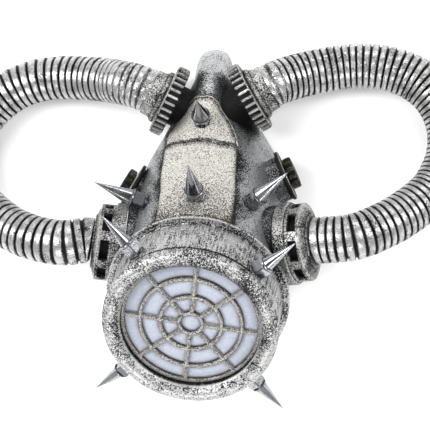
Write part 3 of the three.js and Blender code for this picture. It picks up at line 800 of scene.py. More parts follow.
pad, pad_outline = panel_part(PAD_ROWS, PAD_RIM, PAD_SEAM, -1, PAD_STAINED)
arch, arch_outline = panel_part(ARCH_ROWS, ARCH_RIM, ARCH_SEAM, 0, ARCH_STAINED)
nose_panels = object_from("nose_panels", joined([pad, arch]))
finish_piece(nose_panels, paints["ivory rub"], "silver_paint")

# %% [markdown]
# ## The shell itself
# The wall is two grids, outside and inside, joined along the rim and the front edge. Columns are
# closer together at the nose, where the surface turns fastest. Ports, caps, gears and spikes sit
# on round seats. A seat that ran through the wall would show in the hollow. A boolean could trim
# it, but sliding its buried points is simpler: rays cast at the shell tell where each has to stop.

# %% The wall as two grids
WALL = 0.0024
SHELL_COLUMNS = 240
SHELL_ROWS = 110
COLUMN_PACE = 1.35


def shell_wall():
    share = np.linspace(-1, 1, SHELL_COLUMNS, endpoint=False)
    columns = 180 * np.sign(share) * np.abs(share) ** COLUMN_PACE
    t, angle = np.meshgrid(np.linspace(0, 1, SHELL_ROWS), columns, indexing="ij")
    outer, normal = shell_point(angle, t), shell_normal(angle, t)
    normal[-1, :, 2] = 0
    normal[-1] /= np.linalg.norm(normal[-1], axis=1)[:, None]
    inner = outer - WALL * normal
    faces = grid_faces(2 * SHELL_ROWS, SHELL_COLUMNS, True)
    first, last = range(SHELL_COLUMNS), (2 * SHELL_ROWS - 1) * SHELL_COLUMNS
    for column in first:
        after = (column + 1) % SHELL_COLUMNS
        faces.append([column, after, last + after, last + column])
    points = np.vstack([outer.reshape(-1, 3), inner[::-1].reshape(-1, 3)])
    return points, faces, outer.reshape(-1, 3), t.reshape(-1)


wall_points, wall_faces, outer, along_wall = shell_wall()
print("the wall has", len(wall_faces), "faces")

# %% Seats that stop inside the wall
# The cap seats are almost black: partly the hollow's dark paint, partly painted shade under the caps. The
# port seats are darkened as painted shade under the flanges.
BOSSES = {
    "port": {"places": PORT_PLACES, "radius": 0.022, "long": 0.014, "drop": 0, "wash_and_shade": 0.55},
    "cap": {"places": CAP_PLACES, "radius": 0.012, "long": 0.014, "drop": 0.006, "wash_and_shade": 1.0},
    "gear": {"places": GEAR_PLACES, "radius": 0.013, "long": 0.012, "drop": 0.005, "wash_and_shade": 0.3},
}
BOSS_CREASE = 0.0014
BOSS_SIDES = 40
BOSS_RINGS = (0, 0.5, 1)
SEAT_BURIED_ROWS = 2
SEAT_DEEPEST = 0.005
LOOK_FROM = 0.01


def stop_in_wall(buried, point, axis, deepest, shallowest, skin):
    """Slide the buried points of a part along its axis until they sit halfway through the wall."""
    for corner in buried:
        level = corner - ((corner - point) @ axis) * axis
        met = skin.ray_cast(Vector(level + LOOK_FROM * axis), Vector(-axis), LOOK_FROM + deepest)[0]
        if met is None:
            met = skin.find_nearest(Vector(level))[0]
        height = (np.array(met) - point) @ axis - WALL / 2
        corner[:] = level + np.clip(height, -deepest, -shallowest) * axis


def boss(row, side, skin):
    """A round seat for a port, cap or gear."""
    point, axis = side_frame(row["places"], side)
    up = np.array((0, 0, 1.0)) - axis * axis[2]
    point = point - row["drop"] * up / np.linalg.norm(up)
    rows = [(ring * row["radius"], -row["long"], row["wash_and_shade"]) for ring in BOSS_RINGS]
    rows += [(row["radius"], -BOSS_CREASE, row["wash_and_shade"]), (row["radius"], -GAP, 1), (0, -GAP, 1)]
    shape = moved(turned(rows, BOSS_SIDES), placement(point, axis))
    buried = shape["points"][:len(BOSS_RINGS) * BOSS_SIDES]
    stop_in_wall(buried, point, axis, row["long"], BOSS_CREASE + GAP, skin)
    return shape


def seat_in_wall(name, skin):
    shape = seat(spikes_at[name])
    buried = shape["points"][:SEAT_BURIED_ROWS * SEAT_SIDES]
    stop_in_wall(buried, *spikes_at[name], SEAT_DEEPEST, GAP, skin)
    return shape


skin = BVHTree.FromPolygons(outer.tolist(), grid_faces(SHELL_ROWS, SHELL_COLUMNS, True))
shell_seats = [boss(row, side, skin) for row in BOSSES.values() for side in SIDES]
shell_seats += [seat_in_wall(name, skin) for name in SPIKES_ON_SHELL]
print("seats on the shell:", len(shell_seats))

# %% [markdown]
# A dry brush never reaches the corners, so wash gathers beside the panels, behind the drum's lip,
# around every stud and all over the unpainted inside. Beside the caps the shell is darkened too:
# partly dark paint in the hollow, partly painted shade where the caps shadow the steep flanks. It
# could be painted on by hand, but distances to lines and points that are already known put it
# right in the creases.

# %% Wash on the shell
BESIDE_PAD = 0.7
BESIDE_ARCH = 0.25
BEHIND_LIP = 0.6
ROUND_STUD = 0.35
INSIDE_WASH = 0.9
BESIDE_REACH = 0.004
LIP_REACH = 0.04
STUD_HALF = 0.005
STUD_REACH = 0.0025
# Painted shade beside the caps: the shell is darkened close behind each cap and fades outwards.
CAP_SHADE = {"inward": 0.011, "round": 0.025, "fade": 0.007}


def shade_by_caps(outer):
    shade = np.zeros(len(outer))
    for side in SIDES:
        point, axis = side_frame(CAP_PLACES, side)
        inward = -(outer - point) @ axis
        radius = np.linalg.norm(outer - point + inward[:, None] * axis, axis=1)
        near = np.clip((CAP_SHADE["inward"] - inward) / CAP_SHADE["fade"], 0, 1)
        shade = np.maximum(shade, near * np.clip((CAP_SHADE["round"] - radius) / CAP_SHADE["fade"], 0, 1))
    return shade


def shell_wash_and_shade(outer, t):
    beside_pad = np.exp(-distance_to(outer, pad_outline) / BESIDE_REACH)
    beside_arch = np.exp(-distance_to(outer, arch_outline) / BESIDE_REACH)
    behind_lip = np.exp(-t / LIP_REACH)
    studs = [point for point, _ in spikes_at.values()]
    round_stud = np.exp(-np.maximum(0, distance_to(outer, studs) - STUD_HALF) / STUD_REACH)
    gathered = [BESIDE_PAD * beside_pad, BESIDE_ARCH * beside_arch, BEHIND_LIP * behind_lip]
    return np.maximum.reduce(gathered + [ROUND_STUD * round_stud, shade_by_caps(outer)])


wall_wash_and_shade = np.concatenate([shell_wash_and_shade(outer, along_wall), np.full(len(outer), INSIDE_WASH)])
shell_parts = [part(wall_points, wall_faces, wall_wash_and_shade)] + shell_seats
shell = object_from("half_mask_shell", joined(shell_parts))
finish_piece(shell, paints["shell silver"], "silver_paint", "mask_shell")

# %% [markdown]
# ## The drum
# The drum is turned work: a thin lip against the shell, a smooth wall, a dark line and a thick
# rounded bezel. A profile spun about an axis is the natural way to make it, and a few rows with
# wash in the creases give it edges that catch the light. The real wall was painted with a dry
# brush, so each point also stores a place squeezed along the axis, which draws noise into strokes.

# %% Turn the drum
DRUM_SIDES = 160
DRUM_ROWS = [
    (0, 0.0208, 1), (0.0422, 0.0208, 1), (0.0422, 0.0003, 0.9), (0.0497, 0.0003, 0.9),
    (0.05, 0.0007, 0.5), (0.05, 0.0017, -0.1), (0.0497, 0.0021, -0.1), (0.049, 0.0022, 0.25),
    (0.0473, 0.0022, 0.2), (0.0466, 0.0023, 0.5), (0.0461, 0.0028, 0.25), (0.046, 0.0045, 0.0),
    (0.0458, 0.015, -0.05), (0.0456, 0.0248, 0.0), (0.0455, 0.0258, 0.5), (0.045, 0.0264, 1.0),
    (0.045, 0.0279, 1.0), (0.0461, 0.0282, 0.9), (0.0466, 0.0288, 0.2), (0.0467, 0.0296, 0.15),
    (0.0466, 0.0308, 0.15), (0.0461, 0.0323, 0.1), (0.0452, 0.0334, 0.05), (0.044, 0.0341, 0.05),
    (0.0428, 0.0345, 0.05), (0.0412, 0.0345, 0.1), (0.0398, 0.0339, 0.2), (0.0387, 0.033, 0.3),
    (0.0379, 0.032, 0.25), (0.0374, 0.0315, -0.25), (0.0371, 0.0309, 0.0), (0.0371, 0.0302, 0.9),
    (0.0371, 0.0288, 1.0), (0.0374, 0.0283, 1.0), (0.0382, 0.0282, 1.0), (0.0382, 0.0223, 1.0),
    (0, 0.0223, 1.0),
]
STROKE_SQUEEZE = 0.1
drum_place = placement(DRUM_BACK, DRUM_AXIS)


def brush_strokes(piece):
    """Store each point in the drum's own frame, squeezed along the axis."""
    back = np.array(drum_place.inverted())
    points = np.array([vertex.co for vertex in piece.data.vertices]) - SHIFT
    local = points @ back[:3, :3].T + back[:3, 3]
    local[:, 2] *= STROKE_SQUEEZE
    stored = piece.data.attributes.new("stroke", "FLOAT_VECTOR", "POINT")
    stored.data.foreach_set("vector", local.reshape(-1))


# Painted shade on the drum: its nose and right sides are darkened and its left side lightened, as light
# from the left would fall.
DRUM_SIDE_SHADE = {"right": 0.07, "nose": 0.1}


def shade_drum_sides(shape):
    """Painted shade: darker towards the nose and the right and lighter towards the left, as light from the
    left falls.
    """
    points = shape["points"]
    reach = np.maximum(np.linalg.norm(points[:, :2], axis=1), GAP)
    side_shade = (DRUM_SIDE_SHADE["right"] * points[:, 0] + DRUM_SIDE_SHADE["nose"] * points[:, 1]) / reach
    return part(points, shape["faces"], shape["wash_and_shade"] + side_shade)


drum_parts = [moved(shade_drum_sides(turned(DRUM_ROWS, DRUM_SIDES)), drum_place)]
drum_parts += [seat(spikes_at[name]) for name in SPIKES_ON_DRUM]
drum = object_from("mouth_drum", joined(drum_parts))
brush_strokes(drum)
finish_piece(drum, paints["drum silver"], "silver_paint", "canister")

# %% [markdown]
# ## Repeating a part round an axis
# Spokes, knurled ribs and gear teeth are all one part repeated round an axis. One small Geometry
# Nodes tree does it for all of them: it places points at the origin, gives each a turn from its
# index, puts the part on every point, and makes the copies real so that they survive export.

# %% A tree that repeats a part round an axis
def tree_with(name, inputs):
    tree = bpy.data.node_groups.new(name, "GeometryNodeTree")
    tree.interface.new_socket("Geometry", in_out="INPUT", socket_type="NodeSocketGeometry")
    for label, kind in inputs.items():
        tree.interface.new_socket(label, in_out="INPUT", socket_type=kind)
    tree.interface.new_socket("Geometry", in_out="OUTPUT", socket_type="NodeSocketGeometry")
    return tree, tree.nodes.new("NodeGroupInput").outputs, tree.nodes.new("NodeGroupOutput").inputs


def close_tree(tree, geometry, material, result):
    real = tree.nodes.new("GeometryNodeRealizeInstances")
    paint = tree.nodes.new("GeometryNodeSetMaterial")
    tree.links.new(geometry, real.inputs[0])
    tree.links.new(real.outputs[0], paint.inputs["Geometry"])
    tree.links.new(material, paint.inputs["Material"])
    tree.links.new(paint.outputs[0], result)


def around_axis_tree():
    kinds = {
        "Part": "NodeSocketObject", "Count": "NodeSocketInt",
        "Start": "NodeSocketFloat", "Material": "NodeSocketMaterial",
    }
    tree, given, result = tree_with("repeat round an axis", kinds)
    points = tree.nodes.new("GeometryNodePoints")
    copies = tree.nodes.new("GeometryNodeInstanceOnPoints")
    source = tree.nodes.new("GeometryNodeObjectInfo")
    both = tree.nodes.new("GeometryNodeJoinGeometry")
    turn = tree.nodes.new("ShaderNodeCombineXYZ")
    share = math_node(tree, "DIVIDE", tree.nodes.new("GeometryNodeInputIndex").outputs[0], given["Count"])
    angle = math_node(tree, "MULTIPLY_ADD", share, 2 * math.pi, given["Start"])
    tree.links.new(given["Count"], points.inputs["Count"])
    tree.links.new(given["Part"], source.inputs["Object"])
    tree.links.new(angle, turn.inputs["Z"])
    tree.links.new(points.outputs[0], copies.inputs["Points"])
    tree.links.new(source.outputs["Geometry"], copies.inputs["Instance"])
    tree.links.new(turn.outputs[0], copies.inputs["Rotation"])
    tree.links.new(copies.outputs[0], both.inputs[0])
    tree.links.new(given["Geometry"], both.inputs[0])
    close_tree(tree, both.outputs[0], given["Material"], result["Geometry"])
    return tree


around_axis = around_axis_tree()
print("tree:", around_axis.name, "with", len(around_axis.nodes), "nodes")

# %% [markdown]
# A modifier's inputs are set by their identifiers before anything is evaluated. The evaluated
# result is then copied out as a plain mesh, put in its place on the mask, and the helpers are
# removed, so that only finished pieces stay in the scene.

# %% Run a tree and keep its mesh
def run_tree(name, base, tree, matrix, **values):
    """A new object with the mesh that the tree makes from the base and these inputs."""
    work = base.modifiers.new("nodes", "NODES")
    work.node_group = tree
    for item in tree.interface.items_tree:
        if item.in_out == "INPUT" and item.name.lower() in values:
            work[item.identifier] = values[item.name.lower()]
    evaluated = base.evaluated_get(bpy.context.evaluated_depsgraph_get())
    mesh = bpy.data.meshes.new_from_object(evaluated)
    base.modifiers.remove(work)
    mesh.name = name
    mesh.transform(Matrix.Translation(Vector(SHIFT)) @ matrix)
    mesh.shade_smooth()
    mesh.set_sharp_from_angle(angle=SMOOTH_ANGLE)
    piece = bpy.data.objects.new(name, mesh)
    bpy.context.scene.collection.objects.link(piece)
    return piece


def remove(*helpers):
    for helper in helpers:
        bpy.data.objects.remove(helper)


def block(low, high, rounding, wash_and_shade):
    """A box between two corners with rounded edges, as a part."""
    work = bmesh.new()
    bmesh.ops.create_cube(work, size=1)
    size, middle = np.subtract(high, low), np.add(high, low) / 2
    for vertex in work.verts:
        vertex.co = Vector(np.array(vertex.co) * size + middle)
    bmesh.ops.bevel(work, geom=work.edges[:], offset=rounding, segments=2, affect="EDGES")
    points = [tuple(vertex.co) for vertex in work.verts]
    faces = [[vertex.index for vertex in face.verts] for face in work.faces]
    work.free()
    return part(points, faces, wash_and_shade)


print("the tree can be run")

# %% [markdown]
# ## The grille
# A web of rings and spokes sits in the drum's mouth. The rings are turned with rounded tops, and
# the spokes are one rounded bar repeated eight times by the tree.

# %% Make the grille
GRILLE_AT = 0.0255
GRILLE_THICK = 0.0022
GRILLE_BAR = 0.0021
GRILLE_SPOKES = 8
GRILLE_TURN = math.radians(-9.9)
BAR_ROUNDING = 0.0005
BAR_INTO_RING = 0.0005
BAR_BELOW_RING = 0.0001
BAR_WASH = 0.1
RING_ROUNDING = 0.25
RING_WASH = {"foot": 0.8, "side": 0.35, "top": 0.05}
GRILLE_RINGS = [(0.0052, 0.0072), (0.0152, 0.0174), (0.026, 0.0282), (0.0354, 0.0376)]
RING_SIDES = 96


def web_ring(inner, outer):
    soft = RING_ROUNDING * (outer - inner)
    low, high = GRILLE_AT, GRILLE_AT + GRILLE_THICK
    foot, side, top = RING_WASH.values()
    rows = [
        (inner, low, foot), (outer, low, foot), (outer, high - soft, side), (outer - soft, high, top),
        (inner + soft, high, top), (inner, high - soft, side), (inner, low, foot),
    ]
    return turned(rows, RING_SIDES)


ring_base = object_from("web_rings", joined([web_ring(*ring) for ring in GRILLE_RINGS]), shift=0)
spoke_low = (GRILLE_RINGS[0][1] - BAR_INTO_RING, -GRILLE_BAR / 2, GRILLE_AT)
spoke_top = GRILLE_AT + GRILLE_THICK - BAR_BELOW_RING
spoke_high = (GRILLE_RINGS[-1][0] + BAR_INTO_RING, GRILLE_BAR / 2, spoke_top)
spoke = object_from("web_spoke", block(spoke_low, spoke_high, BAR_ROUNDING, BAR_WASH), shift=0)
grille = run_tree("grille_web", ring_base, around_axis, drum_place, part=spoke, count=GRILLE_SPOKES,
                  start=GRILLE_TURN, material=paints["web silver"])
remove(ring_base, spoke)
finish_piece(grille, paints["web silver"], "silver_paint", "grille")

# %% [markdown]
# ## The felt behind the grille
# A pale felt disc lies behind the web and swells a little through its openings. It is a soft
# piece, so its top is a fine round grid pressed down under each ring and spoke. A cloth simulation
# could press it too, but the distance to the nearest bar gives low pillows at once.

# %% Press the felt
FELT_RADIUS = 0.0379
FELT_LOW = 0.0226
FELT_TOP = 0.0252
FELT_SWELL = 0.0012
FELT_RINGS = 90
FELT_SIDES = 200
FELT_MIDDLE = 0.0002
SWELL_REACH = 0.002
FAR_OFF = 1.0


def felt_part():
    radius = np.linspace(FELT_MIDDLE, FELT_RADIUS, FELT_RINGS)[:, None]
    angle = np.linspace(0, 2 * math.pi, FELT_SIDES, endpoint=False)[None]
    from_ring = np.min([np.abs(radius - (low + high) / 2) for low, high in GRILLE_RINGS], axis=0)
    pitch = 2 * math.pi / GRILLE_SPOKES
    swing = (angle - GRILLE_TURN + pitch / 2) % pitch - pitch / 2
    from_spoke = np.where(radius < GRILLE_RINGS[0][0], FAR_OFF, np.abs(np.sin(swing)) * radius)
    from_bar = np.maximum(0, np.minimum(from_ring, from_spoke) - GRILLE_BAR / 2)
    top = FELT_TOP + FELT_SWELL * (1 - np.exp(-from_bar / SWELL_REACH))
    points = np.stack([radius * np.cos(angle), radius * np.sin(angle), top], -1).reshape(-1, 3)
    under = points[-FELT_SIDES:].copy()
    under[:, 2] = FELT_LOW
    points = np.vstack([points, under])
    faces = grid_faces(FELT_RINGS + 1, FELT_SIDES, True)
    faces.append(list(range(FELT_SIDES)))
    faces.append(list(range(len(points) - FELT_SIDES, len(points))))
    return moved(part(points, faces), drum_place)


felt_shape = felt_part()
print("points on the felt:", len(felt_shape["points"]))

# %% [markdown]
# Felt is a mat of loose fibres without a weave. Particles could stand for them, but at this size
# two noises are enough: a fine one for fibres, which also gives the bump, and a broad one for tufts.

# %% Felt cloth
FIBRES = {"Scale": 1100.0, "Detail": 3.0, "Roughness": 0.7}
TUFTS = {"Scale": 260.0, "Detail": 2.0}
TUFT_SHARE = 0.3
FIBRE_SHARE = 1.6
FELT_DARKER = -0.45
FELT_SHADE = (0.31, 0.335, 0.41)
FELT_LIGHT = (0.57, 0.6, 0.685)
FELT_ROUGH = 0.95
FELT_SHEEN = 0.2
FELT_BUMP = 0.5


def felt_cloth():
    material = bpy.data.materials.new("pale felt")
    material.use_nodes = True
    tree = material.node_tree
    shader = tree.nodes["Principled BSDF"]
    where = tree.nodes.new("ShaderNodeTexCoord").outputs["Object"]
    fibre = node(tree, "ShaderNodeTexNoise", **FIBRES)
    tuft = node(tree, "ShaderNodeTexNoise", **TUFTS)
    tree.links.new(where, fibre.inputs["Vector"])
    tree.links.new(where, tuft.inputs["Vector"])
    soft = math_node(tree, "MULTIPLY_ADD", tuft.outputs["Fac"], TUFT_SHARE, FELT_DARKER)
    blend = math_node(tree, "MULTIPLY_ADD", fibre.outputs["Fac"], FIBRE_SHARE, soft)
    cloth = mixed_colour(tree, blend, FELT_SHADE, FELT_LIGHT)
    tree.links.new(cloth, shader.inputs["Base Color"])
    relief = node(tree, "ShaderNodeBump", Strength=FELT_BUMP, Distance=BUMP_DEPTH)
    tree.links.new(fibre.outputs["Fac"], relief.inputs["Height"])
    tree.links.new(relief.outputs["Normal"], shader.inputs["Normal"])
    shader.inputs["Roughness"].default_value = FELT_ROUGH
    shader.inputs["Sheen Weight"].default_value = FELT_SHEEN
    return material


felt = finish_piece(object_from("felt_disc", felt_shape), felt_cloth(), "felt", "filter_pad")

# %% [markdown]
# ## The spikes
# Screw spikes are sold by the bag, in a few sizes. Each is a square foot, a ring and a cone: broad
# ones stand on the shell and slimmer ones round the drum. One of each is modelled, and a second
# tree puts it on its four points, each with its own turn stored as an attribute.

# %% One spike of each size
BROAD_CONE = {"radius": 0.0047, "high": 0.0225}
SLIM_CONE = {"radius": 0.0037, "high": 0.0198}
RING_ROWS = [
    {"over": 0.0003, "at": 0.0063, "wash_and_shade": 0.7},
    {"over": 0.0006, "at": 0.0066, "wash_and_shade": 0.0},
    {"over": 0.0006, "at": 0.0069, "wash_and_shade": 0.0},
    {"over": 0.0003, "at": 0.0072, "wash_and_shade": 0.6},
    {"over": 0.0, "at": 0.0073, "wash_and_shade": 0.9},
]
CONE_FROM = 0.0071
CONE_SHARES = (0.03, 0.2, 0.4, 0.6, 0.8, 0.93, 0.985)
SHANK_ROWS = [(0, 0.001, 0.5), (0.0032, 0.001, 0.5), (0.0032, 0.0062, 0.9)]
SPIKE_SIDES = 40
FOOT_HALF = 0.0037
FOOT_HIGH = 0.006
FOOT_ROUNDING = 0.0005
SPIKE_LIFT = 0.0009


def one_spike(name, cone):
    rows = list(SHANK_ROWS)
    rows += [(cone["radius"] + row["over"], row["at"], row["wash_and_shade"]) for row in RING_ROWS]
    rows += [(cone["radius"] * (1 - share), CONE_FROM + share * cone["high"], 0.0) for share in CONE_SHARES]
    rows.append((0, CONE_FROM + cone["high"], 0.0))
    foot = block((-FOOT_HALF, -FOOT_HALF, 0), (FOOT_HALF, FOOT_HALF, FOOT_HIGH), FOOT_ROUNDING, 0.0)
    return object_from(name, joined([foot, turned(rows, SPIKE_SIDES)]), shift=0)


broad_spike = one_spike("broad_spike", BROAD_CONE)
slim_spike = one_spike("slim_spike", SLIM_CONE)
print("one spike has", len(broad_spike.data.polygons), "faces")

# %% A tree that stands a part on points
def on_points_tree():
    kinds = {"Part": "NodeSocketObject", "Material": "NodeSocketMaterial"}
    tree, given, result = tree_with("stand a part on points", kinds)
    copies = tree.nodes.new("GeometryNodeInstanceOnPoints")
    source = tree.nodes.new("GeometryNodeObjectInfo")
    turn = tree.nodes.new("GeometryNodeInputNamedAttribute")
    turn.data_type = "QUATERNION"
    turn.inputs["Name"].default_value = "turn"
    tree.links.new(given["Part"], source.inputs["Object"])
    tree.links.new(given["Geometry"], copies.inputs["Points"])
    tree.links.new(source.outputs["Geometry"], copies.inputs["Instance"])
    tree.links.new(turn.outputs["Attribute"], copies.inputs["Rotation"])
    close_tree(tree, copies.outputs[0], given["Material"], result["Geometry"])
    return tree


def seats_object(names):
    frames = [spikes_at[name] for name in names]
    mesh = bpy.data.meshes.new("spike_seats")
    mesh.from_pydata([tuple(point + SPIKE_LIFT * axis) for point, axis in frames], [], [])
    turns = [Vector((0, 0, 1)).rotation_difference(Vector(axis)) for _, axis in frames]
    stored = mesh.attributes.new("turn", "QUATERNION", "POINT")
    stored.data.foreach_set("value", np.array(turns).reshape(-1))
    seats = bpy.data.objects.new("spike_seats", mesh)
    bpy.context.scene.collection.objects.link(seats)
    return seats


def stand_spikes(name, one, names):
    seats = seats_object(names)
    spikes = run_tree(name, seats, on_points, Matrix(), part=one, material=paints["spike steel"])
    remove(seats, one)
    return finish_piece(spikes, paints["spike steel"], "spike_metal", *names)


on_points = on_points_tree()
stand_spikes("shell_spikes", broad_spike, SPIKES_ON_SHELL)
stand_spikes("drum_spikes", slim_spike, SPIKES_ON_DRUM)

# %% [markdown]
# ## The lower ports
# Where each hose comes back at the mouth there is a collar like a bayonet ring: a drum flange, a
# narrower collar with a row of windows, a sloping shoulder and a neck. Cutting the windows out
# would leave hard edges, so the collar is laid from rounded slabs bent round the axis: two hoops
# with pillars between them. The gaps are the windows, with real depth and a dark core inside.

# %% Bend the windowed collar
WINDOW_COUNT = 8
WINDOW_SHARE = 0.7
COLLAR_RADIUS = 0.0215
WINDOW_LOW = 0.0079
WINDOW_HIGH = 0.0126
COLLAR_FROM = 0.0062
COLLAR_TO = 0.0139
COLLAR_WALL = 0.0038
COLLAR_EDGE = 0.00035
PILLAR_OVER = 0.0004
SLAB_STEP = math.radians(4)
SLAB_FEWEST = 3
SLAB_WASH = {"inside": 1.0, "edge": 0.3, "face": 0.15}


def bent_slab(middle, width, low, high):
    steps = max(SLAB_FEWEST, round(width / SLAB_STEP))
    angle = middle + np.linspace(-width / 2, width / 2, steps)
    within, edge = COLLAR_RADIUS - COLLAR_WALL, COLLAR_RADIUS - COLLAR_EDGE
    inside, corner, face = SLAB_WASH.values()
    rows = [
        (within, low, inside), (edge, low, corner), (COLLAR_RADIUS, low + COLLAR_EDGE, face),
        (COLLAR_RADIUS, high - COLLAR_EDGE, face), (edge, high, corner), (within, high, inside),
    ]
    points = [(r * math.cos(a), r * math.sin(a), z) for a in angle for r, z, _ in rows]
    wash_and_shade = [w for _ in angle for _, _, w in rows]
    faces = grid_faces(steps, len(rows), True)
    faces.append(list(range(len(rows))))
    faces.append(list(range(len(points) - len(rows), len(points))))
    return part(points, faces, wash_and_shade)


def windowed_collar():
    """The collar's wall round its windows: two hoops and the pillars between them."""
    pitch = 2 * math.pi / WINDOW_COUNT
    pillar = (WINDOW_LOW - PILLAR_OVER, WINDOW_HIGH + PILLAR_OVER, 1 - WINDOW_SHARE)
    bands = [(COLLAR_FROM, WINDOW_LOW, 1.0), (WINDOW_HIGH, COLLAR_TO, 1.0), pillar]
    parts = []
    for low, high, share in bands:
        for index in range(WINDOW_COUNT):
            middle = pitch * index
            parts.append(bent_slab(middle, share * pitch, low, high))
    return parts


print("slabs in one collar:", len(windowed_collar()))

# %% Make the ports
PORT_SIDES = 96
FLANGE_ROWS = [
    (0, 0, 1), (0.0226, 0, 0.8), (0.023, 0.0004, 0.2), (0.023, 0.0056, 0.25), (0.0226, 0.0061, 0.0),
    (0.0216, 0.0064, 0.7), (0.0205, 0.0066, 1), (0, 0.0066, 1),
]
NECK_ROWS = [
    (0, 0.0135, 1), (0.0208, 0.0135, 0.8), (0.0215, 0.014, 0.1), (0.0213, 0.0143, -0.1),
    (0.0182, 0.0155, 0.25), (0.0156, 0.0163, 0.4), (0.0151, 0.0165, 0.9), (0.0151, 0.0168, 0.3),
    (0.015, 0.0171, 0.2), (0, 0.0173, 1),
]
CORE_ROWS = [(0, 0.003, 1), (0.0172, 0.003, 1), (0.0172, 0.0138, 1), (0, 0.0138, 1)]


def port_part():
    turned_parts = [turned(rows, PORT_SIDES) for rows in (FLANGE_ROWS, NECK_ROWS, CORE_ROWS)]
    return joined(turned_parts + windowed_collar())


for side in SIDES:
    place = placement(*side_frame(PORT_PLACES, side))
    port = object_from(f"windowed_port_{side}", moved(port_part(), place))
    finish_piece(port, paints["speckled silver"], "silver_paint", f"lower_port_{side}")

# %% [markdown]
# ## The upper caps and cuffs
# Beside the nose each hose starts at a knurled cap, like a bottle cap, with a smooth cuff on it.
# The cap is a turned core with one rounded rib repeated round it by the first tree.

# %% Make the caps
CAP_RADIUS = 0.0208
CAP_ROOT = 0.0193
CAP_RIBS = 31
RIB_WIDE = 0.0013
RIB_SUNK = 0.0008
RIB_ENDS = (0.0003, 0.0069)
RIB_ROUNDING = 0.0004
RIB_WASH = -0.15
CAP_ROWS = [
    (0, 0, 0.6), (0.0187, 0, 0.8), (CAP_ROOT, 0.0005, 1), (CAP_ROOT, 0.0066, 1),
    (0.0203, 0.0066, 0.4), (0.0206, 0.0068, 0.0), (0.0206, 0.0072, 0.0), (0.0202, 0.0075, 0.1),
    (0.017, 0.0075, 0.3), (0, 0.0075, 0.5),
]
CUFF_ROWS = [
    (0.011, 0, 1), (0.0152, 0, 0.8), (0.0155, 0.0004, 0.3), (0.0155, 0.0018, 0.1),
    (0.0151, 0.0025, 0.2), (0.0142, 0.003, 0.5), (0.0137, 0.0038, 0.2), (0.0134, 0.006, 0.1),
    (0.0134, 0.0083, 0.1), (0.0131, 0.0088, 0.4), (0.011, 0.009, 1), (0.011, 0, 1),
]
CUFF_SIDES = 64
CAP_SIDES = 136


def knurled_cap(side):
    silver = paints["speckled silver"]
    core = object_from("cap_core", turned(CAP_ROWS, CAP_SIDES), shift=0)
    low = (CAP_ROOT - RIB_SUNK, -RIB_WIDE / 2, RIB_ENDS[0])
    high = (CAP_RADIUS, RIB_WIDE / 2, RIB_ENDS[1])
    rib = object_from("cap_rib", block(low, high, RIB_ROUNDING, RIB_WASH), shift=0)
    place = placement(*side_frame(CAP_PLACES, side))
    cap = run_tree(f"knurled_cap_{side}", core, around_axis, place, part=rib, count=CAP_RIBS,
                   start=0.0, material=silver)
    remove(core, rib)
    return finish_piece(cap, silver, "silver_paint", f"upper_cap_{side}")


for side in SIDES:
    knurled_cap(side)
    point, axis = side_frame(CAP_PLACES, side)
    cuff_place = placement(point + axis * (CAP_THICK + GAP), axis)
    cuff = object_from(f"smooth_cuff_{side}", moved(turned(CUFF_ROWS, CUFF_SIDES), cuff_place))
    finish_piece(cuff, paints["speckled silver"], "hose_silver", f"hose_cuff_{side}")

# %% [markdown]
# ## The cheek gears
# A dark plate with a toothed nut on it is fixed to each cheek, as an ornament. The same tree that
# knurls the caps puts the teeth round the nut.

# %% Make the gears
PLATE_ROWS = [
    (0, 0, 0.9), (0.0142, 0, 0.5), (0.0146, 0.0004, 0.2), (0.0146, 0.0016, 0.1),
    (0.0143, 0.0021, -0.6), (0.0139, 0.0022, -0.3), (0.0134, 0.0022, 0.3), (0.0112, 0.002, 0.9),
    (0.0104, 0.002, 0.9), (0, 0.0022, 0.3),
]
NUT_ROWS = [
    (0, 0, 1), (0.0076, 0, 1), (0.0078, 0.0004, 0.8), (0.0078, 0.0044, 0.2),
    (0.0074, 0.0049, -0.3), (0.0052, 0.005, 0.0), (0.0048, 0.0046, 0.9), (0.0034, 0.0044, 0.9),
    (0.003, 0.0049, 0.1), (0, 0.005, 0.1),
]
PLATE_SIDES = 80
NUT_SIDES = 64
PLATE_THICK = 0.0022
GEAR_TEETH = 12
TOOTH_LOW = (0.007, -0.00115, 0.0002)
TOOTH_HIGH = (0.0092, 0.00115, 0.0047)
TOOTH_ROUNDING = 0.0004
TOOTH_WASH = -0.05
FIRST_TOOTH = 0.3


def cheek_gear(side):
    bronze = paints["gear bronze"]
    point, axis = side_frame(GEAR_PLACES, side)
    plate_shape = moved(turned(PLATE_ROWS, PLATE_SIDES), placement(point, axis))
    plate = object_from(f"round_plate_{side}", plate_shape)
    finish_piece(plate, bronze, "gear_bronze", f"cheek_plate_{side}")
    core = object_from("nut_core", turned(NUT_ROWS, NUT_SIDES), shift=0)
    tooth_shape = block(TOOTH_LOW, TOOTH_HIGH, TOOTH_ROUNDING, TOOTH_WASH)
    tooth = object_from("nut_tooth", tooth_shape, shift=0)
    place = placement(point + axis * (PLATE_THICK + GAP), axis)
    nut = run_tree(f"toothed_nut_{side}", core, around_axis, place, part=tooth, count=GEAR_TEETH,
                   start=FIRST_TOOTH, material=bronze)
    remove(core, tooth)
    return finish_piece(nut, bronze, "gear_bronze", f"cheek_gear_{side}")


for side in SIDES:
    cheek_gear(side)

# %% [markdown]
# ## Table and light
# Silver only looks like silver when it has bright and dark things to mirror. The table is white
# and glows a little, as in an overlit product photo. Four soft boxes stand round it, and the room
# overhead stays dim, so that surfaces facing up go grey and their shoulders shine.

# %% Table
TABLE_HALF = 3.0
TABLE_LOW = -0.0003
TABLE_WHITE = 0.95
TABLE_ROUGH = 0.8
FLAT_SQUARE = ((-1, -1), (1, -1), (1, 1), (-1, 1))
TABLE_GLOW = 0.18


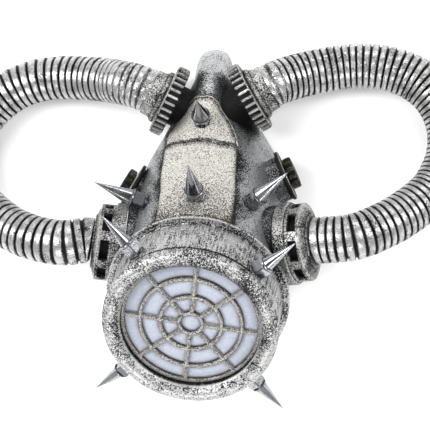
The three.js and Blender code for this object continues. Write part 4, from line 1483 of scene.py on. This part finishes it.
def plain_table():
    mesh = bpy.data.meshes.new("table")
    corners = [(x * TABLE_HALF, y * TABLE_HALF, TABLE_LOW) for x, y in FLAT_SQUARE]
    mesh.from_pydata(corners, [], [[0, 1, 2, 3]])
    table = bpy.data.objects.new("table", mesh)
    material = bpy.data.materials.new("white table")
    material.use_nodes = True
    shader = material.node_tree.nodes["Principled BSDF"]
    shader.inputs["Base Color"].default_value = (TABLE_WHITE, TABLE_WHITE, TABLE_WHITE, 1)
    shader.inputs["Roughness"].default_value = TABLE_ROUGH
    shader.inputs["Emission Color"].default_value = (1, 1, 1, 1)
    shader.inputs["Emission Strength"].default_value = TABLE_GLOW
    mesh.materials.append(material)
    bpy.context.scene.collection.objects.link(table)
    return table


table = plain_table()
print(table.name, "is ready")

# %% Soft boxes
SOFT_BOXES = {
    "left box": {"at": (-0.75, 0.15, 1.0), "size": (0.5, 1.2), "watts": 15},
    "right box": {"at": (0.85, 0.15, 1.0), "size": (0.5, 1.2), "watts": 10},
    "chin box": {"at": (0.0, -1.2, 0.8), "size": (1.4, 0.5), "watts": 10},
    "nose box": {"at": (0.0, 1.2, 0.8), "size": (1.4, 0.5), "watts": 7},
}
ROOM = {"overhead": 0.08, "low": 0.75}


def soft_box(name, row):
    light = bpy.data.lights.new(name, "AREA")
    light.shape = "RECTANGLE"
    light.size, light.size_y = row["size"]
    light.energy = row["watts"]
    lamp = bpy.data.objects.new(name, light)
    place = Vector(row["at"])
    turn = place.to_track_quat("Z", "Y").to_matrix().to_4x4()
    lamp.matrix_world = Matrix.Translation(place) @ turn
    bpy.context.scene.collection.objects.link(lamp)


def dim_room():
    """A room that is dark overhead and pale lower down, so that silver has both to mirror."""
    world = bpy.data.worlds.new("studio")
    world.use_nodes = True
    tree = world.node_tree
    where = tree.nodes.new("ShaderNodeTexCoord").outputs["Generated"]
    split = tree.nodes.new("ShaderNodeSeparateXYZ")
    tree.links.new(where, split.inputs[0])
    grey = ranged(tree, split.outputs["Z"], ROOM["low"], ROOM["overhead"])
    tree.links.new(grey, tree.nodes["Background"].inputs["Color"])
    bpy.context.scene.world = world


for name, row in SOFT_BOXES.items():
    soft_box(name, row)
dim_room()
bpy.context.scene.view_settings.view_transform = "Standard"
print("soft boxes:", list(SOFT_BOXES))
